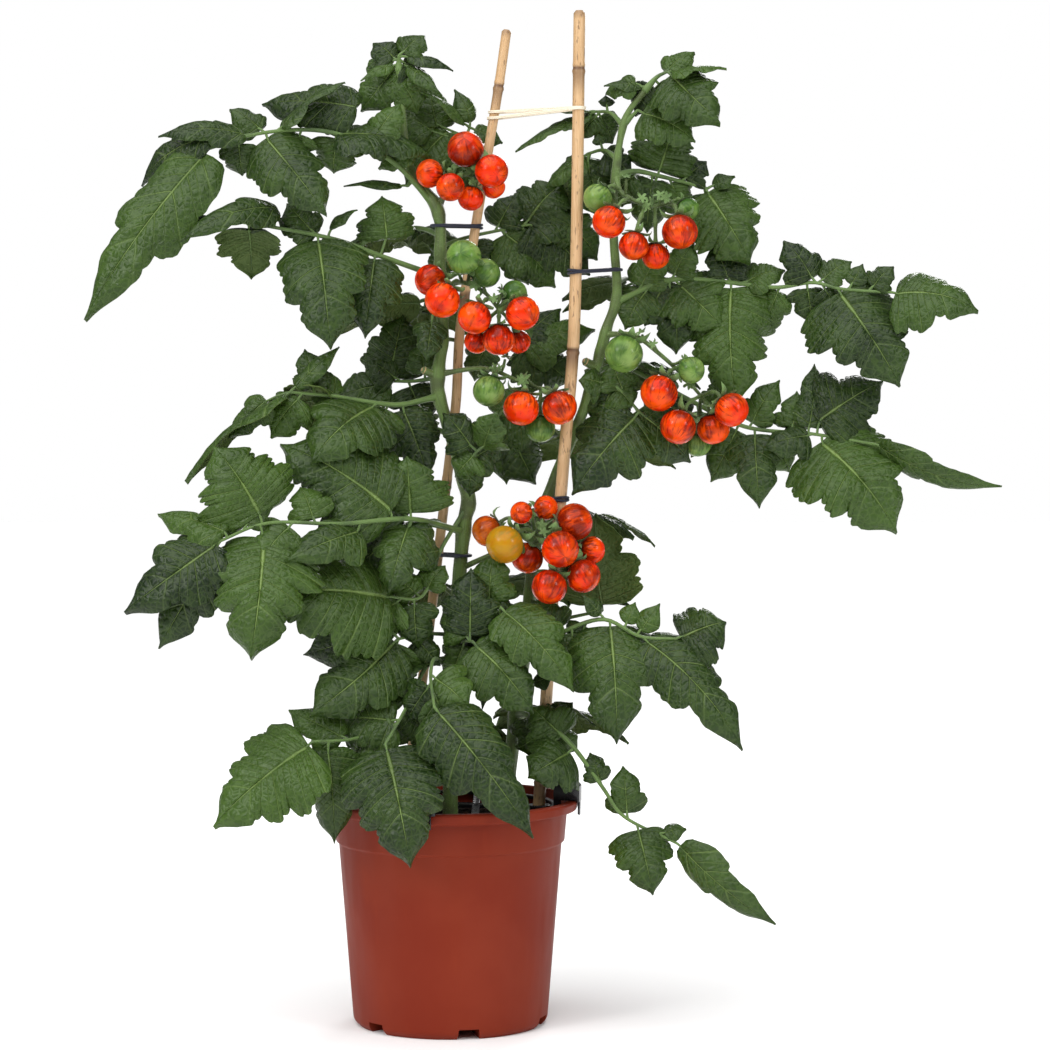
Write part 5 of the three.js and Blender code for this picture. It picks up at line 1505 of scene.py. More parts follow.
@dataclass(frozen=True)
class CompoundLeaf:
    """A leaf of several leaflets on one stalk, as one mesh.

    Its stem is the corners of the middle line that it grows from, and its number counts the leaves from 1.
    """

    plan: LeafPlan
    number: int
    stem: Array
    stalk_radius: float = 2.5
    small_stalk_radius: float = 1.9
    stalk_tip_radius: float = 1.15
    foot_swell: float = 0.5
    foot_reach: float = 9.0
    tube_step: float = 5.0
    neck_length: float = 5.0
    neck_radii: tuple[float, float] = (1.2, 0.9)
    neck_rise: float = 0.4
    neck_overlap: float = 2.0
    inner_shift: int = 15

    def depth_at(self, line: Array, shown: Array) -> float:
        """Returns the depth of the stalk where it shows nearest to a place in the view."""
        scale = -VIEW_POINT[1] / (line[:, 1] - VIEW_POINT[1])
        in_view = (line - VIEW_POINT) * scale[:, None] + VIEW_POINT
        _, index, share = nearest_on(in_view, shown)
        return float(line[index, 1] + (line[index + 1, 1] - line[index, 1]) * share)

    def build(self, materials: Sequence[Material]) -> Piece:
        """Builds the leaf.

        Args:
            materials: of the upper face, the underside and the stalk.

        Returns:
            The piece.
        """
        shell = Shell()
        points = np.vstack((point_at_height(self.stem, self.plan.root), seen_all(self.plan.stalk)))
        coarse = smoothed(points, len(points))
        length = length_of(coarse)
        line = smoothed(points, max(8, int(length / self.tube_step)))
        thick = self.stalk_radius if len(self.plan.leaflets) > 3 else self.small_stalk_radius
        foot = 1.0 + self.foot_swell * bulge(np.linspace(0.0, length, len(line)), self.foot_reach)
        radii = np.linspace(thick, self.stalk_tip_radius, len(line)) * foot
        add_tube(shell, line, radii, LeafSlot.STALK, 10, chance(self.number))
        inner = INNER_LEAFLETS.get(self.plan.name, ())
        inner_start = len(self.plan.leaflets) + self.inner_shift
        for rows, start in ((self.plan.leaflets, 0), (inner, inner_start)):
            for index, row in enumerate(rows, start):
                self.add_leaflet(shell, coarse, line, row, index)
        return shell.build(f"leaf_{self.plan.side}_{self.number:02d}", materials, 75.0)

    def add_leaflet(self, shell: Shell, coarse: Array, line: Array, row: tuple, index: int) -> None:
        """Adds one leaflet and its neck.

        Args:
            shell: where they are added.
            coarse: the stalk's middle line in a few pieces, which sets the leaflet's depth.
            line: the stalk's middle line, which the neck starts on.
            row: the leaflet's row in the plan.
            index: its number, for its seed.
        """
        base_x, base_z, tip_x, tip_z, width, reach, turn = row
        depth = self.depth_at(coarse, seen((base_x, base_z, 0.0)))
        base = seen((base_x, base_z, depth))
        tip = seen((tip_x, tip_z, depth + reach))
        root = nearest_on(line, base)[0]
        if np.linalg.norm(root - base) < self.neck_length:
            base = root + unit(tip - root) * self.neck_length
        angle = math.radians(turn)
        facing = UP * math.cos(angle) + TO_FRONT * math.sin(angle)
        Blade(base, tip, width * BREADTH, facing, 40 * self.number + index).add(shell)
        middle = (root + base) / 2 + UP * self.neck_rise
        neck = smoothed(np.array((root, middle, base + unit(tip - base) * self.neck_overlap)), 6)
        radii = np.linspace(*self.neck_radii, len(neck))
        add_tube(shell, neck, radii, LeafSlot.STALK, 8, chance(self.number))


class Neck(NamedTuple):
    """A leaflet's neck: its length, its overlap with the blade, its radii, its rings and its sides."""

    length: float
    overlap: float
    radii: tuple[float, float]
    rings: int
    sides: int


@dataclass(frozen=True)
class FarLeaf:
    """A leaf on the far side, arched outwards: two pairs of leaflets, a small pair and one at its tip.

    Its stem is the corners of the middle line that it grows from. Places run along its rib from 0 to 1.
    """

    plan: FarPlan
    index: int
    stem: Array
    rise: float = 0.45
    fall: float = 0.6
    width: float = 62.0
    sag: float = 0.3
    rib_end: float = 0.72
    rib_radii: tuple[float, float] = (2.4, 1.1)
    pairs: tuple[tuple[float, float], ...] = ((0.34, 0.85), (0.6, 1.0))
    pair_width: float = 34.0
    pair_neck: Neck = Neck(7.0, 2.0, (1.2, 0.9), 5, 8)
    small_places: tuple[float, float] = (0.47, 0.53)
    small_reach: float = 0.38
    small_width: float = 15.0
    small_neck: Neck = Neck(4.0, 0.0, (0.9, 0.8), 4, 6)
    last_place: float = 0.69
    last_width: float = 46.0

    @property
    def outward(self) -> Array:
        """The level direction in which the leaf grows."""
        angle = math.radians(self.plan.compass)
        return np.array((math.cos(angle), math.sin(angle), 0.0))

    def point(self, place: float, wide: float = 0.0) -> Array:
        """Returns the point at a place along the rib and a share of the width from it."""
        length, outward = self.plan.length, self.outward
        across = np.array((-outward[1], outward[0], 0.0))
        rise = length * (self.rise * place - self.fall * place ** 2) - self.sag * self.width * wide ** 2
        start = point_at_height(self.stem, self.plan.root)
        return start + outward * length * place + across * wide * self.width + UP * rise

    def build(self, materials: Sequence[Material]) -> Piece:
        """Builds the leaf.

        Args:
            materials: of the upper face, the underside and the stalk.

        Returns:
            The piece.
        """
        shell = Shell()
        rib = np.array([self.point(place) for place in np.linspace(0.0, self.rib_end, 22)])
        add_tube(shell, rib, np.linspace(*self.rib_radii, len(rib)), LeafSlot.STALK)
        facing = unit(UP + 0.5 * self.outward)
        seed = 3000 + 50 * self.index
        number = 0
        for sign, shift in ((1, 0), (-1, 30)):
            for pair, (place, wide) in enumerate(self.pairs):
                reach = sign * wide * (0.85 + 0.3 * chance(seed + shift + pair))
                tilt = unit(facing + self.outward * 0.5 * (chance(seed + number + 40) - 0.3))
                width = self.pair_width + 8.0 * chance(seed + number)
                ends = (self.point(place), self.point(place + 0.1, reach))
                self.add_leaflet(shell, ends, self.pair_neck, width, tilt, seed + number)
                number += 1
            root, tip = self.small_places
            ends = (self.point(root), self.point(tip, sign * self.small_reach))
            self.add_leaflet(shell, ends, self.small_neck, self.small_width, facing, seed + 8 + number)
        Blade(self.point(self.last_place), self.point(1.0), self.last_width, facing, seed + 9).add(shell)
        return shell.build(f"far_leaf_{self.plan.side}_{self.index + 1:02d}", materials, 75.0)

    def add_leaflet(self, shell: Shell, ends: tuple[Array, Array], neck: Neck, width: float, facing: Array,
                    seed: int) -> None:
        """Adds one leaflet beside the rib and its neck.

        Args:
            shell: where they are added.
            ends: where it leaves the rib, and its tip.
            neck: its neck.
            width: the blade's width.
            facing: the way that it faces.
            seed: its number.
        """
        root, tip = ends
        base = root + unit(tip - root) * neck.length
        Blade(base, tip, width, facing, seed).add(shell)
        line = np.linspace(root, base + unit(tip - base) * neck.overlap, neck.rings)
        add_tube(shell, line, np.linspace(*neck.radii, neck.rings), LeafSlot.STALK, neck.sides)


@dataclass(frozen=True)
class MainStem:
    """A main stem with its swollen joints, its ridges and the stubs of its cut shoots."""

    side: str
    plan: StemPlan
    sides: int = 20
    rings: int = 190
    joint_swell: float = 0.2
    joint_reach: float = 7.0
    most_swell: float = 1.3
    slimness: float = 0.96
    stub_sides: int = 14
    stub_rise: float = 0.45

    @property
    def way(self) -> Array:
        """The corners of its middle line."""
        return seen_all(self.plan.way)

    def radii(self, count: int) -> Array:
        """Returns the radii at evenly spaced points."""
        return np.interp(shares(count), shares(len(self.plan.radii)), np.array(self.plan.radii, dtype=float))

    def build(self, materials: Sequence[Material]) -> Piece:
        """Builds the stem.

        Args:
            materials: of the skin and of the cut ends.

        Returns:
            The piece.
        """
        shell = Shell()
        way = self.way
        line = smoothed(way, self.rings)
        height = line[:, 2:3]
        swell = np.ones(len(line))
        for plan in LEAVES + TRUSSES:
            if plan.side == self.side:
                swell += self.joint_swell * bulge(line[:, 2] - plan.root, self.joint_reach)
        swell = np.minimum(swell, self.most_swell)
        angles = turns(self.sides)[None, :]
        twisted = angles + 0.6 * np.sin(height / 60.0)
        ripple = (1.0 + 0.035 * np.sin(5.0 * twisted) + 0.02 * np.sin(3.0 * angles + height / 23.0)
                  + 0.012 * np.sin(height / 3.1 + 2.0 * angles))
        add_tube(shell, line, self.radii(len(line)) * swell * self.slimness, 0, self.sides, 0.5, ripple)
        for at, compass, length, radius in self.plan.stubs:
            self.add_stub(shell, point_at_height(way, at), math.radians(compass), length, radius)
        return shell.build(f"main_stem_{self.side}", materials)

    def add_stub(self, shell: Shell, root: Array, compass: float, length: float, radius: float) -> None:
        """Adds the stub of a cut shoot, with its dry pale end.

        Args:
            shell: where it is added.
            root: where it leaves the stem's middle line.
            compass: the angle from +X in which it points.
            length: how far it stands out of the stem.
            radius: its radius.
        """
        away = unit(np.array((math.cos(compass), math.sin(compass), self.stub_rise)))
        reach = float(self.plan.radii[0]) * 0.7 + length
        line = root + away * np.linspace(0.0, reach, 9)[:, None]
        add_tube(shell, line, radius * np.linspace(1.25, 1.0, 9), 0, self.stub_sides)
        end = root + away * np.linspace(reach - 1.0, reach + 0.6, 4)[:, None]
        add_tube(shell, end, radius * np.array((0.96, 1.03, 1.0, 0.8)), 1, self.stub_sides)


@dataclass(frozen=True)
class Hairs:
    """Short fine hairs that stand on a skin, laid by Geometry Nodes, with a density to the square metre."""

    density: float = 190000.0
    length: float = 1.7
    radius: float = 0.055
    tilt: float = 0.5
    turn: float = 3.0
    sizes: tuple[float, float] = (0.5, 1.1)
    seeds: tuple[int, int, int] = (11, 5, 7)

    def build(self, name: str, skin: Piece, material: Material) -> Piece:
        """Grows the hairs.

        Args:
            name: the new piece's name.
            skin: the piece that they stand on.
            material: their finish.

        Returns:
            The hairs as a plain mesh of their own.
        """
        scatter = Scatter("fine_hairs", ("Length", "Radius"), self.seeds[0])
        form = {"Vertices": 3, "Radius Top": 0.0, "Depth": scatter.inputs["Length"],
                "Radius Bottom": scatter.inputs["Radius"]}
        cone = scatter.node("GeometryNodeMeshCone", form, fill_type="NGON").outputs["Mesh"]
        least, most = (-self.tilt, -self.tilt, 0.0), (self.tilt, self.tilt, self.turn)
        tilt = scatter.random(least, most, self.seeds[1])
        turned = {"Rotation": scatter.spread["Rotation"], "Rotate By": tilt}
        rotation = scatter.node("FunctionNodeRotateEuler", turned, space="LOCAL").outputs["Rotation"]
        scatter.finish(cone, rotation, scatter.random(*self.sizes, self.seeds[2]))
        values = {"Density": self.density, "Length": self.length * MM, "Radius": self.radius * MM,
                  "Finish": material}
        return scatter.run(name, skin.data.copy(), values)


@dataclass(frozen=True)
class Calyx:
    """The green star on a tomato's crown: five or six thin pointed sepals, curled up at their tips."""

    centre: Array
    radius: float
    crown: Array
    seed: float
    foot: float = 0.84
    least_length: float = 1.3
    more_length: float = 0.7
    half_width: float = 0.21
    bend: float = 0.95
    sway: float = 0.12

    def add(self, shell: Shell, slot: int) -> None:
        """Adds the sepals to a shell."""
        first = unit(np.cross(self.crown, (0.6, -0.5, 0.62)))
        second = np.cross(self.crown, first)
        count = 5 + int(chance(self.seed) > 0.6)
        for index in range(count):
            turn = 2.0 * math.pi * (index + 0.35 * chance(self.seed + index)) / count
            away = first * math.cos(turn) + second * math.sin(turn)
            self.add_sepal(shell, slot, away, index)

    def add_sepal(self, shell: Shell, slot: int, away: Array, index: int) -> None:
        """Adds one sepal.

        Args:
            shell: where it is added.
            slot: its material slot.
            away: the direction in which it leaves the crown.
            index: its number, for its seed.
        """
        side = np.cross(self.crown, away)
        length = self.radius * (self.least_length + self.more_length * chance(self.seed + index + 9))
        lift = 0.75 + 1.0 * chance(self.seed + index + 17)
        places = shares(11)
        angle = places * length / self.radius * self.bend
        over = np.sin(angle) * self.radius
        drop = (1.0 - np.cos(angle)) * self.radius * self.bend
        rise = lift * length * 0.55 * places ** 2.4 + 0.8
        spine = (self.centre + self.crown * self.radius * self.foot + away * over[:, None]
                 + self.crown * (rise - drop)[:, None])
        spine += side * (self.sway * length * (chance(self.seed + index + 25) - 0.5) * places ** 2)[:, None]
        taper = np.sin(np.pi * np.minimum(places * 0.8 + 0.2, 1.0)) ** 0.8
        half = (self.radius * self.half_width * taper + 0.12)[:, None]
        thick = np.linspace(0.45, 0.2, len(places))[:, None]
        up = unit(np.cross(np.gradient(spine, axis=0), -side))
        up *= np.sign((up @ self.crown) + 1e-6)[:, None]
        cup = up * (half * 0.3)
        rings = np.stack((spine - side * half + cup, spine + up * thick * 0.5, spine + side * half + cup,
                          spine - up * thick), axis=1)
        shell.grid(rings, map_grid(shares(5), places * 0.3), slot, chance(self.seed + index))


class TrussSlot(IntEnum):
    """The material slots of a truss's stalk."""

    STALK = 0
    CALYX = 1


@dataclass
class Truss:
    """A truss: its stalk, and its tomatoes with their calyxes and short stalks.

    Its stem is the corners of the middle line that it grows from. Fruits hang apart by a gap.
    """

    plan: TrussPlan
    stem: Array
    gap: float = 0.7
    apart: float = 1.03
    stalk_radii: tuple[float, float] = (2.1, 1.4)
    foot_swell: float = 0.5
    foot_reach: float = 8.0
    pedicel_radius: float = 1.45
    knuckle: float = 0.7
    pedicel_top: float = 0.92
    spent: int = 6
    spent_reach: float = 9.0
    spent_radius: float = 1.1
    spent_size: float = 4.6
    fruit_sides: int = 36
    fruit_rows: int = 23
    fruit_height: float = 0.95
    dimple: float = 0.16
    fruit_lobes: float = 0.014
    coarse: Array = field(init=False)
    line: Array = field(init=False)
    fruits: list = field(init=False)

    def __post_init__(self) -> None:
        """Lays the stalk and hangs the fruits."""
        points = np.vstack((point_at_height(self.stem, self.plan.root), seen_all(self.plan.stalk)))
        self.coarse = smoothed(points, len(points))
        self.line = smoothed(points, 60)
        self.fruits = self.hang()

    def hang(self) -> list[tuple[Array, float, Ripeness]]:
        """Sets each fruit as far forward as the ones before it let it hang."""
        hung: list[tuple[tuple[float, float, float], float, Ripeness]] = []
        for x, z, radius, ripeness in self.plan.fruits:
            depth = self.plan.depth
            for (other_x, other_z, other_depth), other_radius, _ in hung:
                between = math.hypot(x - other_x, z - other_z)
                needed = self.apart * (radius + other_radius) + self.gap
                if between < needed:
                    depth = max(depth, other_depth + math.sqrt(needed ** 2 - between ** 2))
            hung.append(((x, z, depth), radius, ripeness))
        return [(seen(place), radius, ripeness) for place, radius, ripeness in hung]

    def crown(self, centre: Array) -> Array:
        """Returns the direction from a fruit's middle to its crown."""
        nearest = nearest_on(self.coarse, centre)[0]
        return unit(unit(nearest - centre) + 0.5 * UP)

    def build_stalk(self, materials: Sequence[Material]) -> Piece:
        """Builds the stalk with the fruits' short stalks and calyxes.

        Args:
            materials: of the stalk and of the calyxes.

        Returns:
            The piece.
        """
        shell = Shell()
        away = np.linspace(0.0, length_of(self.line), len(self.line))
        foot = 1.0 + self.foot_swell * bulge(away, self.foot_reach)
        radii = np.linspace(*self.stalk_radii, len(self.line)) * foot
        add_tube(shell, self.line, radii, TrussSlot.STALK, 12, 0.4)
        for number, (centre, radius, _) in enumerate(self.fruits):
            self.add_pedicel(shell, centre, radius, number)
            calyx = Calyx(centre, radius, self.crown(centre), 100.0 * self.plan.root + number)
            calyx.add(shell, TrussSlot.CALYX)
        for number in range(self.spent):
            self.add_spent(shell, number)
        return shell.build(f"truss_{self.plan.name}", materials, 70.0)

    def add_spent(self, shell: Shell, number: int) -> None:
        """Adds a short stalk whose flower has dropped, with the small star that it left."""
        seed = 17.0 * self.plan.root + 3.0 * number
        place = 0.35 + 0.65 * (number + chance(seed)) / self.spent
        root = self.line[min(int(place * len(self.line)), len(self.line) - 1)]
        away = unit(np.array((chance(seed + 1.0) - 0.5, -0.25 - 0.5 * chance(seed + 2.0),
                              chance(seed + 3.0) - 0.35)))
        reach = self.spent_reach * (0.6 + 0.8 * chance(seed + 4.0))
        tip = root + away * reach + UP * 0.2 * reach
        line = smoothed(np.array((root, root + away * 0.6 * reach, tip)), 10)
        radii = self.spent_radius + 0.35 * bulge(shares(len(line)) - 0.6, 0.12)
        add_tube(shell, line, radii, TrussSlot.STALK, 8, 0.4)
        size = self.spent_size * (0.8 + 0.5 * chance(seed + 5.0))
        Calyx(tip - away * 0.4 * size, size, away, seed).add(shell, TrussSlot.CALYX)

    def add_pedicel(self, shell: Shell, centre: Array, radius: float, number: int) -> None:
        """Adds the short stalk from the truss's stalk to one fruit, with its knuckle.

        Args:
            shell: where it is added.
            centre: the fruit's middle.
            radius: the fruit's radius.
            number: the fruit's number, for its shade.
        """
        crown = self.crown(centre)
        foot = centre + crown * (self.pedicel_top * radius - 0.8)
        root = nearest_on(self.line, foot)[0]
        reach = float(np.linalg.norm(root - foot))
        middle = foot + crown * min(0.45 * reach, 9.0)
        points = np.array((foot, middle if reach > 6.0 else (foot + middle) / 2, root))
        line = smoothed(points, 18)
        share = shares(len(line))
        radii = (self.pedicel_radius + self.knuckle * bulge(share - 0.55, 0.09) + 0.8 * bulge(share, 0.12)
                 + 0.5 * bulge(1.0 - share, 0.1))
        add_tube(shell, line, radii, TrussSlot.STALK, 10, chance(number))

    def build_fruit(self, index: int, material: Material) -> Piece:
        """Builds one tomato, a little flat at its ends and dimpled at its crown.

        Args:
            index: its place in the plan.
            material: its skin.

        Returns:
            The piece.
        """
        centre, radius, _ = self.fruits[index]
        crown = self.crown(centre)
        seed = 31.0 * self.plan.root + index
        first = unit(np.cross(crown, (0.31, 0.77, 0.55)))
        second = np.cross(crown, first)
        turn = turns(self.fruit_sides)
        around = np.cos(turn)[:, None] * first + np.sin(turn)[:, None] * second
        tilt = np.linspace(0.05, math.pi - 0.05, self.fruit_rows)[::-1]
        height = (self.fruit_height * np.cos(tilt) - self.dimple * bulge(tilt, 0.34)
                  + 0.03 * bulge(math.pi - tilt, 0.3))
        lobes = self.fruit_lobes * np.cos(3.0 * turn + seed)[None, :] * (0.5 + 0.5 * np.cos(tilt))[:, None]
        wide = np.sin(tilt)[:, None] * (1.0 + lobes)
        rings = (centre + around[None, :, :] * wide[..., None] * radius
                 + crown * (height * radius)[:, None, None])
        shell = Shell()
        shell.grid(rings, map_grid(shares(self.fruit_sides + 1), tilt / math.pi), 0, chance(seed))
        return shell.build(f"fruit_{self.plan.name}_{index + 1}", [material], 180.0)


@dataclass(frozen=True)
class Cane:
    """A bamboo cane with ringed joints and a sawn top."""

    side: str
    plan: CanePlan
    sides: int = 24
    rings: int = 320
    foot_width: float = 1.03
    narrowing: float = 0.06
    ridge: float = 0.75
    upper_ridge: float = 0.35
    groove: float = 0.25
    groove_place: float = 2.6
    stain_reach: float = 24.0

    @property
    def line(self) -> Array:
        """The cane's middle line."""
        return smoothed(seen_all(self.plan.way), self.rings)

    def radii(self) -> Array:
        """Returns the radius along the line, with its ridges at the joints."""
        line = self.line
        share = shares(len(line))
        radii = self.plan.radius * (self.foot_width - self.narrowing * share)
        length = length_of(line)
        for joint in self.plan.joints:
            off = (share - joint) * length
            radii += self.ridge * bulge(off, 1.6) + self.upper_ridge * bulge(off - 5.0, 2.2)
            radii -= self.groove * bulge(off - self.groove_place, 0.9)
        return radii

    def build(self, material: Material) -> Piece:
        """Returns the cane's piece."""
        shell = Shell()
        add_tube(shell, self.line, self.radii(), 0, self.sides)
        piece = shell.build(f"bamboo_cane_{self.side}", [material], 50.0)
        self.stain(piece.data)
        return piece

    def stain(self, mesh: bpy.types.Mesh) -> None:
        """Darkens the joints and the sawn ends through the tone of the points."""
        line = self.line
        places = np.interp(points_of(mesh)[:, 2] / MM, line[:, 2], shares(len(line)))
        length = length_of(line)
        tone = np.zeros(len(places))
        for number, joint in enumerate(self.plan.joints):
            off = (places - joint) * length
            tone = np.maximum(tone, bulge(off - self.groove_place, 1.3))
            below = smooth_step(-self.stain_reach, -1.0, off) * smooth_step(3.0, 1.0, off)
            tone = np.maximum(tone, below * (0.25 + 0.5 * chance(number + 3.0)))
        tone = np.maximum(tone, 0.5 * smooth_step(0.994, 1.0, places))
        mesh.attributes["tone"].data.foreach_set("value", tone)


@dataclass(frozen=True)
class Loop:
    """A cord or band laid round two upright rods, with its way round each of them."""

    cord: float
    clearance: float = 0.14
    squash: float = 1.0

    def line(self, first: tuple[Array, float], second: tuple[Array, float], rise: float = 0.0) -> Array:
        """Lays the loop's middle line.

        Args:
            first: the middle and the radius of one rod.
            second: those of the other rod.
            rise: how far the loop winds up on its way round.

        Returns:
            A closed line, whose last point is its first.
        """
        places = []
        across = unit((second[0] - first[0]) * LEVEL)
        for (centre, radius), heading in ((first, -across), (second, across)):
            start = math.atan2(heading[1], heading[0])
            for angle in start + np.linspace(-0.5 * math.pi, 0.5 * math.pi, 9):
                reach = radius + self.cord + self.clearance
                places.append(centre + np.array((math.cos(angle), math.sin(angle), 0.0)) * reach)
        points = np.array(places)
        points[:, 2] += rise * np.sin(np.linspace(0.0, 2.0 * math.pi, len(points)))
        return smoothed(np.vstack((points, points[:1])), 90)

    def add(self, shell: Shell, line: Array) -> None:
        """Adds the loop's tube along its line."""
        add_ring(shell, line[:-1], self.cord, self.squash)


@dataclass(frozen=True)
class Cords:
    """The dark ties that hold the stems to the canes, and the elastic band round both canes."""

    stems: dict[str, MainStem]
    canes: dict[str, Cane]
    tie_cord: float = 1.105
    tie_rise: float = 0.8
    tie_pitch: float = 1.1
    band_cord: float = 0.744
    band_shift: float = 0.55
    band_squash: float = 0.9

    def build(self) -> None:
        """Builds the ties and the band and puts them on the body."""
        twine, rubber = TWINE.material(), RUBBER.material()
        for tie in TIES:
            stem, cane = self.stems[tie.side], self.canes[tie.side]
            way = stem.way
            first = rod_section(way, stem.radii(len(way)), tie.height + tie.rise)
            second = rod_section(cane.line, cane.radii(), tie.height)
            shell = Shell()
            loop = Loop(self.tie_cord)
            loop.add(shell, loop.line(first, second, self.tie_rise))
            loop.add(shell, loop.line(first, second, -self.tie_rise) + UP * self.tie_pitch)
            settle(shell.build(f"{tie.name}_cord", [twine]), "tie", tie.name)
        shell = Shell()
        band = Loop(self.band_cord, squash=self.band_squash)
        for heights in BAND_HEIGHTS:
            first, second = (rod_section(cane.line, cane.radii(), height)
                             for cane, height in zip(self.canes.values(), heights))
            for shift in (-self.band_shift, self.band_shift):
                band.add(shell, band.line(first, second) + UP * shift)
        settle(shell.build("band_strands", [rubber]), "band", "elastic_band")


@dataclass(frozen=True)
class Pot:
    """The nursery pot: a rolled rim, a smooth band, a groove, a tapered wall and a foot with six notches."""

    rim_radius: float = 105.0
    rim_width: float = 7.4
    height: float = 184.0
    rim_height: float = 8.5
    band_radius: float = 95.5
    band_inner: float = 91.2
    ledge_radius: float = 93.4
    groove_radius: float = 91.0
    groove_inner: float = 89.0
    groove_height: float = 148.0
    groove_step: float = 2.0
    foot_radius: float = 79.5
    foot_inner: float = 76.5
    foot_round: float = 4.0
    floor_radius: float = 73.0
    floor_height: float = 10.0
    sides: int = 160
    sharp_angle: float = 35.0
    notches: int = 6
    notch_width: float = 17.5
    notch_height: float = 8.4
    notch_reach: float = 42.0
    notch_turn: float = 12.0
    notch_below: float = 5.0

    def profile(self) -> list[tuple[float, float]]:
        """Returns the wall's section, up the outside and down the inside."""
        rim, top, groove, floor = self.rim_radius, self.height, self.groove_height, self.floor_height
        lip = top - self.rim_height
        return rounded((
            (0.0, 0.0, 0.0), (self.foot_radius - self.foot_round, 0.0, 0.0),
            (self.foot_radius, self.foot_round, 2.5), (self.groove_radius, groove, 0.8),
            (self.ledge_radius, groove + self.groove_step, 0.8), (self.band_radius, lip - 1.0, 1.2),
            (rim - 1.6, lip, 1.4), (rim, top - 1.5, 1.4), (rim - 1.8, top, 0.9),
            (rim - self.rim_width, top, 0.9), (self.ledge_radius, top - 9.0, 0.8),
            (self.band_inner, groove + self.groove_step, 0.8),
            (self.groove_inner, groove, 0.8), (self.foot_inner, floor + 3.0, 2.5),
            (self.floor_radius, floor, 0.0), (0.0, floor, 0.0)))

    def build(self, material: Material) -> Piece:
        """Returns the pot's piece, with its notches cut."""
        shell = Shell()
        add_lathe(shell, self.profile(), self.sides)
        piece = shell.build("pot_shell", [material], self.sharp_angle)
        blocks = self.notch_blocks()
        modifier = piece.modifiers.new("Notches", "BOOLEAN")
        modifier.operation = "DIFFERENCE"
        modifier.solver = "EXACT"
        modifier.object = blocks
        mesh = keep_result(piece, modifier)
        bpy.data.objects.remove(blocks)
        mesh.set_sharp_from_angle(angle=math.radians(self.sharp_angle))
        return piece

    def notch_blocks(self) -> Piece:
        """Returns the blocks that cut the notches, a little wider at their feet than at their tops."""
        bm = bmesh.new()
        for index in range(self.notches):
            turn = math.radians(self.notch_turn + 360.0 * index / self.notches)
            outward = np.array((math.sin(turn), -math.cos(turn), 0.0))
            side = np.array((outward[1], -outward[0], 0.0))
            ends = []
            for height, spread in ((-self.notch_below, 1.0), (self.notch_height, -0.6)):
                half = side * (self.notch_width / 2 + spread)
                near, far = outward * self.notch_reach + UP * height, outward * self.rim_radius + UP * height
                ends.append((near - half, far - half, far + half, near + half))
            add_prism(bm, *ends)
        return add_blocks("notch_blocks", bm)


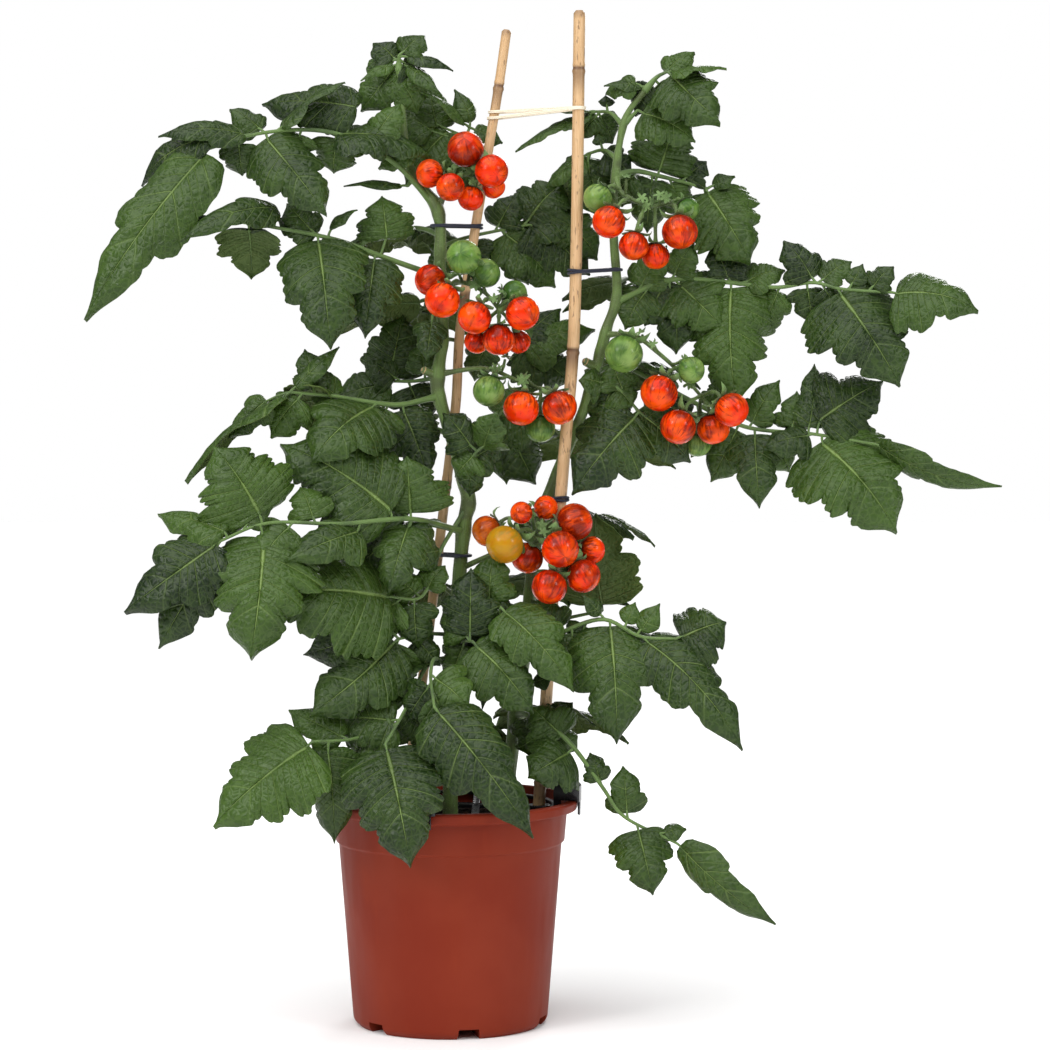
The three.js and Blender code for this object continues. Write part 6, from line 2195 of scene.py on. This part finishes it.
@dataclass(frozen=True)
class CaneHolder:
    """The black holder: a ring on the soil, two crossed bars with eyes for the canes, tabs over the rim."""

    ring_inner: float = 83.0
    ring_outer: float = 88.0
    ring_sides: int = 144
    low: float = 176.0
    high: float = 179.0
    long_bar: float = 8.0
    cross_bar: float = 6.0
    cross_x: float = 21.0
    overlap: float = 1.0
    eye: float = 9.5
    eye_gap: float = 0.5
    eye_sides: int = 48
    channel: tuple[float, float, float] = (0.3, 0.24, 0.8)
    tabs: int = 4
    tab_turn: float = -8.8
    tab_inner: float = 86.0
    tab_outer: float = 107.35
    tab_low: float = 176.5
    tab_width: float = 14.0
    tab_top: float = 199.0
    tongue_width: float = 7.0
    tongue_low: float = 172.0
    rim_radius: float = 105.0
    rim_top: float = 184.0
    rim_gap: float = 0.35
    edge: float = 0.7

    def build(self, material: Material, canes: Sequence[tuple[Array, float]]) -> Piece:
        """Builds the holder.

        Args:
            material: its finish.
            canes: the middle and the radius of each cane where it passes the holder.

        Returns:
            The piece.
        """
        bm = bmesh.new()
        self.add_flat_ring(bm, (0.0, 0.0), self.ring_inner, self.ring_outer, self.ring_sides)
        first, second = canes[0][0], canes[1][0]
        along = unit((second - first) * LEVEL)
        square = np.array((-along[1], along[0], 0.0))
        middle = (first + along * np.dot(-first, along)) * LEVEL
        inside = self.ring_inner + self.overlap
        reach = math.sqrt(inside ** 2 - float(np.dot(middle, middle)))
        stops = [-reach]
        for point, radius in canes:
            place = float(np.dot(point - middle, along))
            stops += [place - self.eye + self.overlap, place + self.eye - self.overlap]
            self.add_flat_ring(bm, point[:2], radius + self.eye_gap, self.eye, self.eye_sides)
        stops.append(reach)
        for low, high in zip(stops[::2], stops[1::2]):
            self.add_bar(bm, middle + along * low, middle + along * high, square, self.long_bar)
        crossing = middle + along * ((self.cross_x - middle[0]) / along[0])
        for sign in (-1.0, 1.0):
            start = crossing + np.array((0.0, sign * (self.long_bar / 2 - self.overlap), 0.0))
            end = np.array((self.cross_x, sign * math.sqrt(inside ** 2 - self.cross_x ** 2), 0.0))
            self.add_bar(bm, start, end, np.array((1.0, 0.0, 0.0)), self.cross_bar)
        for index in range(self.tabs):
            self.add_tab(bm, math.radians(self.tab_turn + 90.0 * index))
        piece = add_blocks("cane_holder_bars", bm)
        piece.data.materials.append(material)
        return bevelled(piece, self.edge)

    def add_flat_ring(self, bm: bmesh.types.BMesh, centre: Sequence[float], inner: float, outer: float,
                      sides: int) -> None:
        """Adds a flat ring between the holder's lower and upper faces.

        Args:
            bm: where it is added.
            centre: x and y of its middle.
            inner: its inner radius.
            outer: its outer radius.
            sides: how many sides it has.
        """
        x, y = centre
        loops = []
        for radius, height in ((outer, self.low), (outer, self.high), (inner, self.high), (inner, self.low)):
            loops.append([bm.verts.new((x + radius * math.cos(angle), y + radius * math.sin(angle), height))
                          for angle in turns(sides)])
        for loop, following in zip(loops, loops[1:] + loops[:1]):
            for index in range(sides):
                after = (index + 1) % sides
                bm.faces.new((loop[index], loop[after], following[after], following[index]))

    def add_bar(self, bm: bmesh.types.BMesh, start: Array, end: Array, square: Array, width: float) -> None:
        """Adds a straight bar with a shallow channel along its top.

        Args:
            bm: where it is added.
            start: the middle of one end.
            end: the middle of the other end.
            square: the level direction across the bar.
            width: how wide it is.
        """
        lip, bed, depth = self.channel
        right = ((0.5, self.low), (0.5, self.high), (lip, self.high), (bed, self.high - depth))
        section = [(-0.5, self.low), *right, *((-share, height) for share, height in right[:0:-1])]
        add_prism(bm, *([(*(point[:2] + square[:2] * width * share), height) for share, height in section]
                        for point in (start, end)))

    def add_tab(self, bm: bmesh.types.BMesh, turn: float) -> None:
        """Adds one tab: a block over the rim that narrows to a tongue outside the lip."""
        outward = np.array((math.sin(turn), -math.cos(turn)))
        side = np.array((-outward[1], outward[0]))
        inner, outer, low, top = self.tab_inner, self.tab_outer, self.tab_low, self.tab_top
        lip, rim, over = self.rim_radius + self.rim_gap, self.rim_top, self.rim_top + self.rim_gap
        body = ((inner, low), (inner + 4.0, low), (inner + 5.0, over), (lip, over), (lip, rim - 1.0),
                (outer, rim - 1.0), (outer, top - 3.0), (outer - 3.0, top), (inner + 2.0, top),
                (inner, top - 2.0))
        tongue = ((lip, self.tongue_low + 1.0), (outer - 0.3, self.tongue_low), (outer, rim), (lip, rim))
        for section, width in ((body, self.tab_width), (tongue, self.tongue_width)):
            add_prism(bm, *([(*(outward * reach + side * share), height) for reach, height in section]
                            for share in (-width / 2, width / 2)))


def bevelled(piece: Piece, width: float) -> Piece:
    """Rounds a piece's edges and keeps the result as its plain mesh.

    Args:
        piece: the piece.
        width: the bevel's width in millimetres.

    Returns:
        The piece.
    """
    modifier = piece.modifiers.new("Edges", "BEVEL")
    modifier.width = width * MM
    modifier.segments = 3
    modifier.limit_method = "ANGLE"
    modifier.angle_limit = math.radians(35.0)
    modifier.use_clamp_overlap = True
    mesh = keep_result(piece, modifier)
    mesh.polygons.foreach_set("use_smooth", [True] * len(mesh.polygons))
    mesh.set_sharp_from_angle(angle=math.radians(40.0))
    return piece


@dataclass(frozen=True)
class Soil:
    """The potting soil: a rough, slightly crowned bed that fills the pot."""

    floor_height: float = 10.3
    floor_radius: float = 74.5
    top_radius: float = 87.5
    edge_height: float = 168.6
    middle_height: float = 173.0
    sides: int = 170
    rings: int = 52
    roughness: float = 0.8
    settling: float = 0.5
    fade_width: float = 4.0

    def build(self, material: Material) -> Piece:
        """Returns the bed's piece."""
        rows = [(0.0, self.floor_height), (self.floor_radius, self.floor_height),
                (self.top_radius, self.edge_height)]
        for radius in np.linspace(self.top_radius - 1.5, 0.8, self.rings):
            rise = (self.middle_height - self.edge_height) * (1.0 - (radius / self.top_radius) ** 2)
            rows.append((float(radius), self.edge_height + rise))
        rows.append((0.0, self.middle_height))
        shell = Shell()
        add_lathe(shell, rows, self.sides)
        piece = shell.build("soil_bed", [material], 180.0)
        points = points_of(piece.data)
        x, y, z = (points / MM).T
        rough = (np.sin(x / 2.3 + 1.7 * np.sin(y / 3.1)) * np.sin(y / 1.9 + 1.3 * np.sin(x / 4.3))
                 + 0.6 * np.sin(x / 0.9 + 2.0 * np.sin(y / 1.3)) * np.sin(y / 1.1 + x / 5.0)
                 + 0.8 * np.sin(x / 7.0) * np.cos(y / 8.3))
        fade = np.clip((self.top_radius - np.hypot(x, y)) / self.fade_width, 0.0, 1.0)
        lift = self.roughness * rough * fade - self.settling * fade
        points[:, 2] += np.where(z > self.edge_height - 0.5, lift, 0.0) * MM
        piece.data.vertices.foreach_set("co", points.ravel())
        piece.data.update()
        return piece


@dataclass(frozen=True)
class Crumbs:
    """Crumbs, bark and grit on the soil, laid by Geometry Nodes, with a density to the square metre."""

    density: float = 76000.0
    size: float = 1.5
    margin: float = 3.0
    least: tuple[float, float, float] = (0.25, 0.25, 0.15)
    most: tuple[float, float, float] = (1.0, 0.7, 0.55)
    turn: tuple[float, float, float] = (6.28, 6.28, 6.28)
    seeds: tuple[int, int, int] = (3, 1, 2)

    def build(self, bed: Piece, soil: Soil, material: Material) -> Piece:
        """Scatters the crumbs.

        Args:
            bed: the soil's piece.
            soil: its sizes.
            material: the crumbs' finish.

        Returns:
            The crumbs as a plain mesh of their own.
        """
        scatter = Scatter("soil_crumbs", ("Size",), self.seeds[0])
        ball = {"Radius": scatter.inputs["Size"], "Subdivisions": 1}
        crumb = scatter.node("GeometryNodeMeshIcoSphere", ball)
        turn = scatter.random((0.0, 0.0, 0.0), self.turn, self.seeds[1])
        scatter.finish(crumb.outputs["Mesh"], turn, scatter.random(self.least, self.most, self.seeds[2]))
        values = {"Density": self.density, "Size": self.size * MM, "Finish": material}
        return scatter.run("soil_crumbs", self.open_ground(bed, soil), values)

    def open_ground(self, bed: Piece, soil: Soil) -> bpy.types.Mesh:
        """Returns a copy of the soil's top without its rim and its sides."""
        mesh = bed.data.copy()
        bm = bmesh.new()
        bm.from_mesh(mesh)
        low = (soil.edge_height - 1.0) * MM
        reach = (soil.top_radius - self.margin) * MM
        spare = [face for face in bm.faces if face.calc_center_median().z < low
                 or face.calc_center_median().xy.length > reach]
        bmesh.ops.delete(bm, geom=spare, context="FACES")
        bm.to_mesh(mesh)
        bm.free()
        return mesh


@dataclass(frozen=True)
class Plant:
    """The two leafy stems on their canes, with everything that grows on them or holds them."""

    stems: dict[str, MainStem]
    canes: dict[str, Cane]
    down: Hairs = Hairs()
    fuzz: Hairs = Hairs(450000.0, 1.3, 0.06)

    def build(self) -> None:
        """Builds every piece of the plant and puts it on the body."""
        stem_finish, cut_finish, hair_finish = STEM.material(), CUT_END.material(), HAIR.material()
        leaf_finishes = [LEAF_TOP.material(), LEAF_UNDER.material(), STALK.material()]
        for side, stem in self.stems.items():
            piece = stem.build([stem_finish, cut_finish])
            hairs = self.down.build(f"stem_hairs_{side}", piece, hair_finish)
            settle(piece, "foliage", f"leafy_stem_{side}")
            settle(hairs, "foliage", f"leafy_stem_{side}")
        leaves = [CompoundLeaf(plan, number, self.stems[plan.side].way)
                  for number, plan in enumerate(LEAVES, start=1)]
        leaves += [FarLeaf(plan, index, self.stems[plan.side].way) for index, plan in enumerate(FAR_LEAVES)]
        for leaf in leaves:
            settle(leaf.build(leaf_finishes), "foliage", f"leafy_stem_{leaf.plan.side}")
        self.build_trusses(stem_finish, hair_finish)
        bamboo = BAMBOO.material()
        for side, cane in self.canes.items():
            settle(cane.build(bamboo), "cane", f"cane_{side}")
        Cords(self.stems, self.canes).build()

    def build_trusses(self, stem_finish: Material, hair_finish: Material) -> None:
        """Builds the stalks with their fuzz, and the tomatoes.

        Args:
            stem_finish: the stalks' finish.
            hair_finish: the fuzz's finish.
        """
        calyx_finish = CALYX.material()
        skins = {ripeness: finish.material() for ripeness, finish in FRUITS.items()}
        for plan in TRUSSES:
            truss = Truss(plan, self.stems[plan.side].way)
            stalk = truss.build_stalk([stem_finish, calyx_finish])
            fuzz = self.fuzz.build(f"truss_hairs_{plan.name}", stalk, hair_finish)
            settle(stalk, "foliage", f"leafy_stem_{plan.side}")
            settle(fuzz, "foliage", f"leafy_stem_{plan.side}")
            for index, (_, _, ripeness) in enumerate(truss.fruits):
                fruit = truss.build_fruit(index, skins[ripeness])
                settle(fruit, f"tomato_{ripeness.value}", f"tomato_{plan.name}_{index + 1}")


@dataclass(frozen=True)
class Window:
    """A soft square light: its name, its place, its size and its power in watts."""

    name: str
    place: tuple[float, float, float]
    size: tuple[float, float]
    power: float


@dataclass(frozen=True)
class Studio:
    """The pale floor, the soft light and the camera, in metres."""

    surround_light: float = 0.18
    surround_white: float = 1.0
    ceiling_way: tuple[float, float, float] = (-0.2, -0.45, 1.0)
    ceiling_light: float = 3.3
    ceiling_spread: float = 85.0
    window_aim: tuple[float, float, float] = (0.06, 0.0, 0.42)
    windows: tuple[Window, ...] = (
        Window("left_window", (-1.5, -1.6, 1.5), (0.5, 0.75), 13.0),
        Window("right_window", (1.7, -1.4, 1.2), (0.45, 0.7), 10.0),
        Window("back_window", (0.6, 1.9, 1.4), (0.9, 0.8), 16.0))
    floor_reach: float = 9.0
    floor_shades: tuple[Colour, Colour] = ((0.95, 0.95, 0.95, 1.0), (0.97, 0.97, 0.97, 1.0))
    sensor_width: float = 36.0
    view_depth: float = 50.0

    def build(self) -> None:
        """Sets up the studio."""
        self.floor()
        self.surround()
        self.lights()
        self.camera()

    def floor(self) -> None:
        """Lays the floor."""
        reach = self.floor_reach
        mesh = bpy.data.meshes.new("studio_floor")
        corners = ((-reach, -reach), (reach, -reach), (reach, reach), (-reach, reach))
        mesh.from_pydata([(*corner, 0.0) for corner in corners], [], [(0, 1, 2, 3)])
        graph = Graph("studio_floor", 0.85)
        cloud = graph.noise(3.0, 2.0)
        colour = graph.mix(graph.step(cloud, 0.3, 0.7), *self.floor_shades)
        graph.tree.links.new(colour, graph.shader.inputs["Base Color"])
        mesh.materials.append(graph.material)
        add_object("studio_floor", mesh)

    def surround(self) -> None:
        """Sets a white surround that lights the plant only gently."""
        world = bpy.data.worlds.new("white_surround")
        world.use_nodes = True
        nodes = Nodes(world.node_tree)
        is_seen = nodes.node("ShaderNodeLightPath").outputs["Is Camera Ray"]
        inputs = {"Value": is_seen, "To Min": self.surround_light, "To Max": self.surround_white}
        background = nodes.tree.nodes["Background"]
        background.inputs["Color"].default_value = (1.0, 1.0, 1.0, 1.0)
        strength = nodes.node("ShaderNodeMapRange", inputs).outputs["Result"]
        nodes.tree.links.new(strength, background.inputs["Strength"])
        bpy.context.scene.world = world
        bpy.context.scene.view_settings.view_transform = "Standard"

    def lights(self) -> None:
        """Hangs a wide ceiling light, and windows to the left, to the right and behind."""
        ceiling = bpy.data.lights.new("bright_ceiling", "SUN")
        ceiling.energy = self.ceiling_light
        ceiling.angle = math.radians(self.ceiling_spread)
        self.stand(ceiling, Vector(self.ceiling_way), Vector((0.0, 0.0, 0.0)))
        for window in self.windows:
            light = bpy.data.lights.new(window.name, "AREA")
            light.shape = "RECTANGLE"
            light.size, light.size_y = window.size
            light.energy = window.power
            self.stand(light, Vector(window.place), Vector(self.window_aim))

    def stand(self, data: bpy.types.Light | bpy.types.Camera, place: Vector, aim: Vector) -> Piece:
        """Stands a light or a camera at a place and turns it to its aim.

        Args:
            data: the light or the camera.
            place: where it stands.
            aim: the point that it looks at.

        Returns:
            Its object.
        """
        item = bpy.data.objects.new(data.name, data)
        item.location = place
        item.rotation_euler = (aim - place).to_track_quat("-Z", "Y").to_euler()
        bpy.context.scene.collection.objects.link(item)
        return item

    def camera(self) -> None:
        """Stands the camera where the plant was seen from."""
        place, aim = Vector(CAMERA_PLACE) * MM, Vector(CAMERA_AIM) * MM
        data = bpy.data.cameras.new("front_view")
        data.sensor_fit = "HORIZONTAL"
        data.sensor_width = self.sensor_width
        data.lens = self.sensor_width / 2 / (HALF_VIEW * MM / (aim - place).length)
        data.clip_end = self.view_depth
        bpy.context.scene.camera = self.stand(data, place, aim)


def main() -> None:
    """Builds the plant, the pot and the studio."""
    logging.basicConfig(level=logging.INFO)
    plant = Plant({side: MainStem(side, plan) for side, plan in STEMS.items()},
                  {side: Cane(side, plan) for side, plan in CANES.items()})
    plant.build()
    settle(Pot().build(TERRACOTTA.material()), "pot", "pot")
    canes = [rod_section(cane.line, cane.radii(), HOLDER_HEIGHT) for cane in plant.canes.values()]
    settle(CaneHolder().build(BLACK.material(), canes), "holder", "cane_holder")
    soil, soil_finish = Soil(), SOIL.material()
    bed = soil.build(soil_finish)
    settle(bed, "soil", "soil")
    settle(Crumbs().build(bed, soil, soil_finish), "soil", "soil")
    Studio().build()


if __name__ == "__main__":
    main()
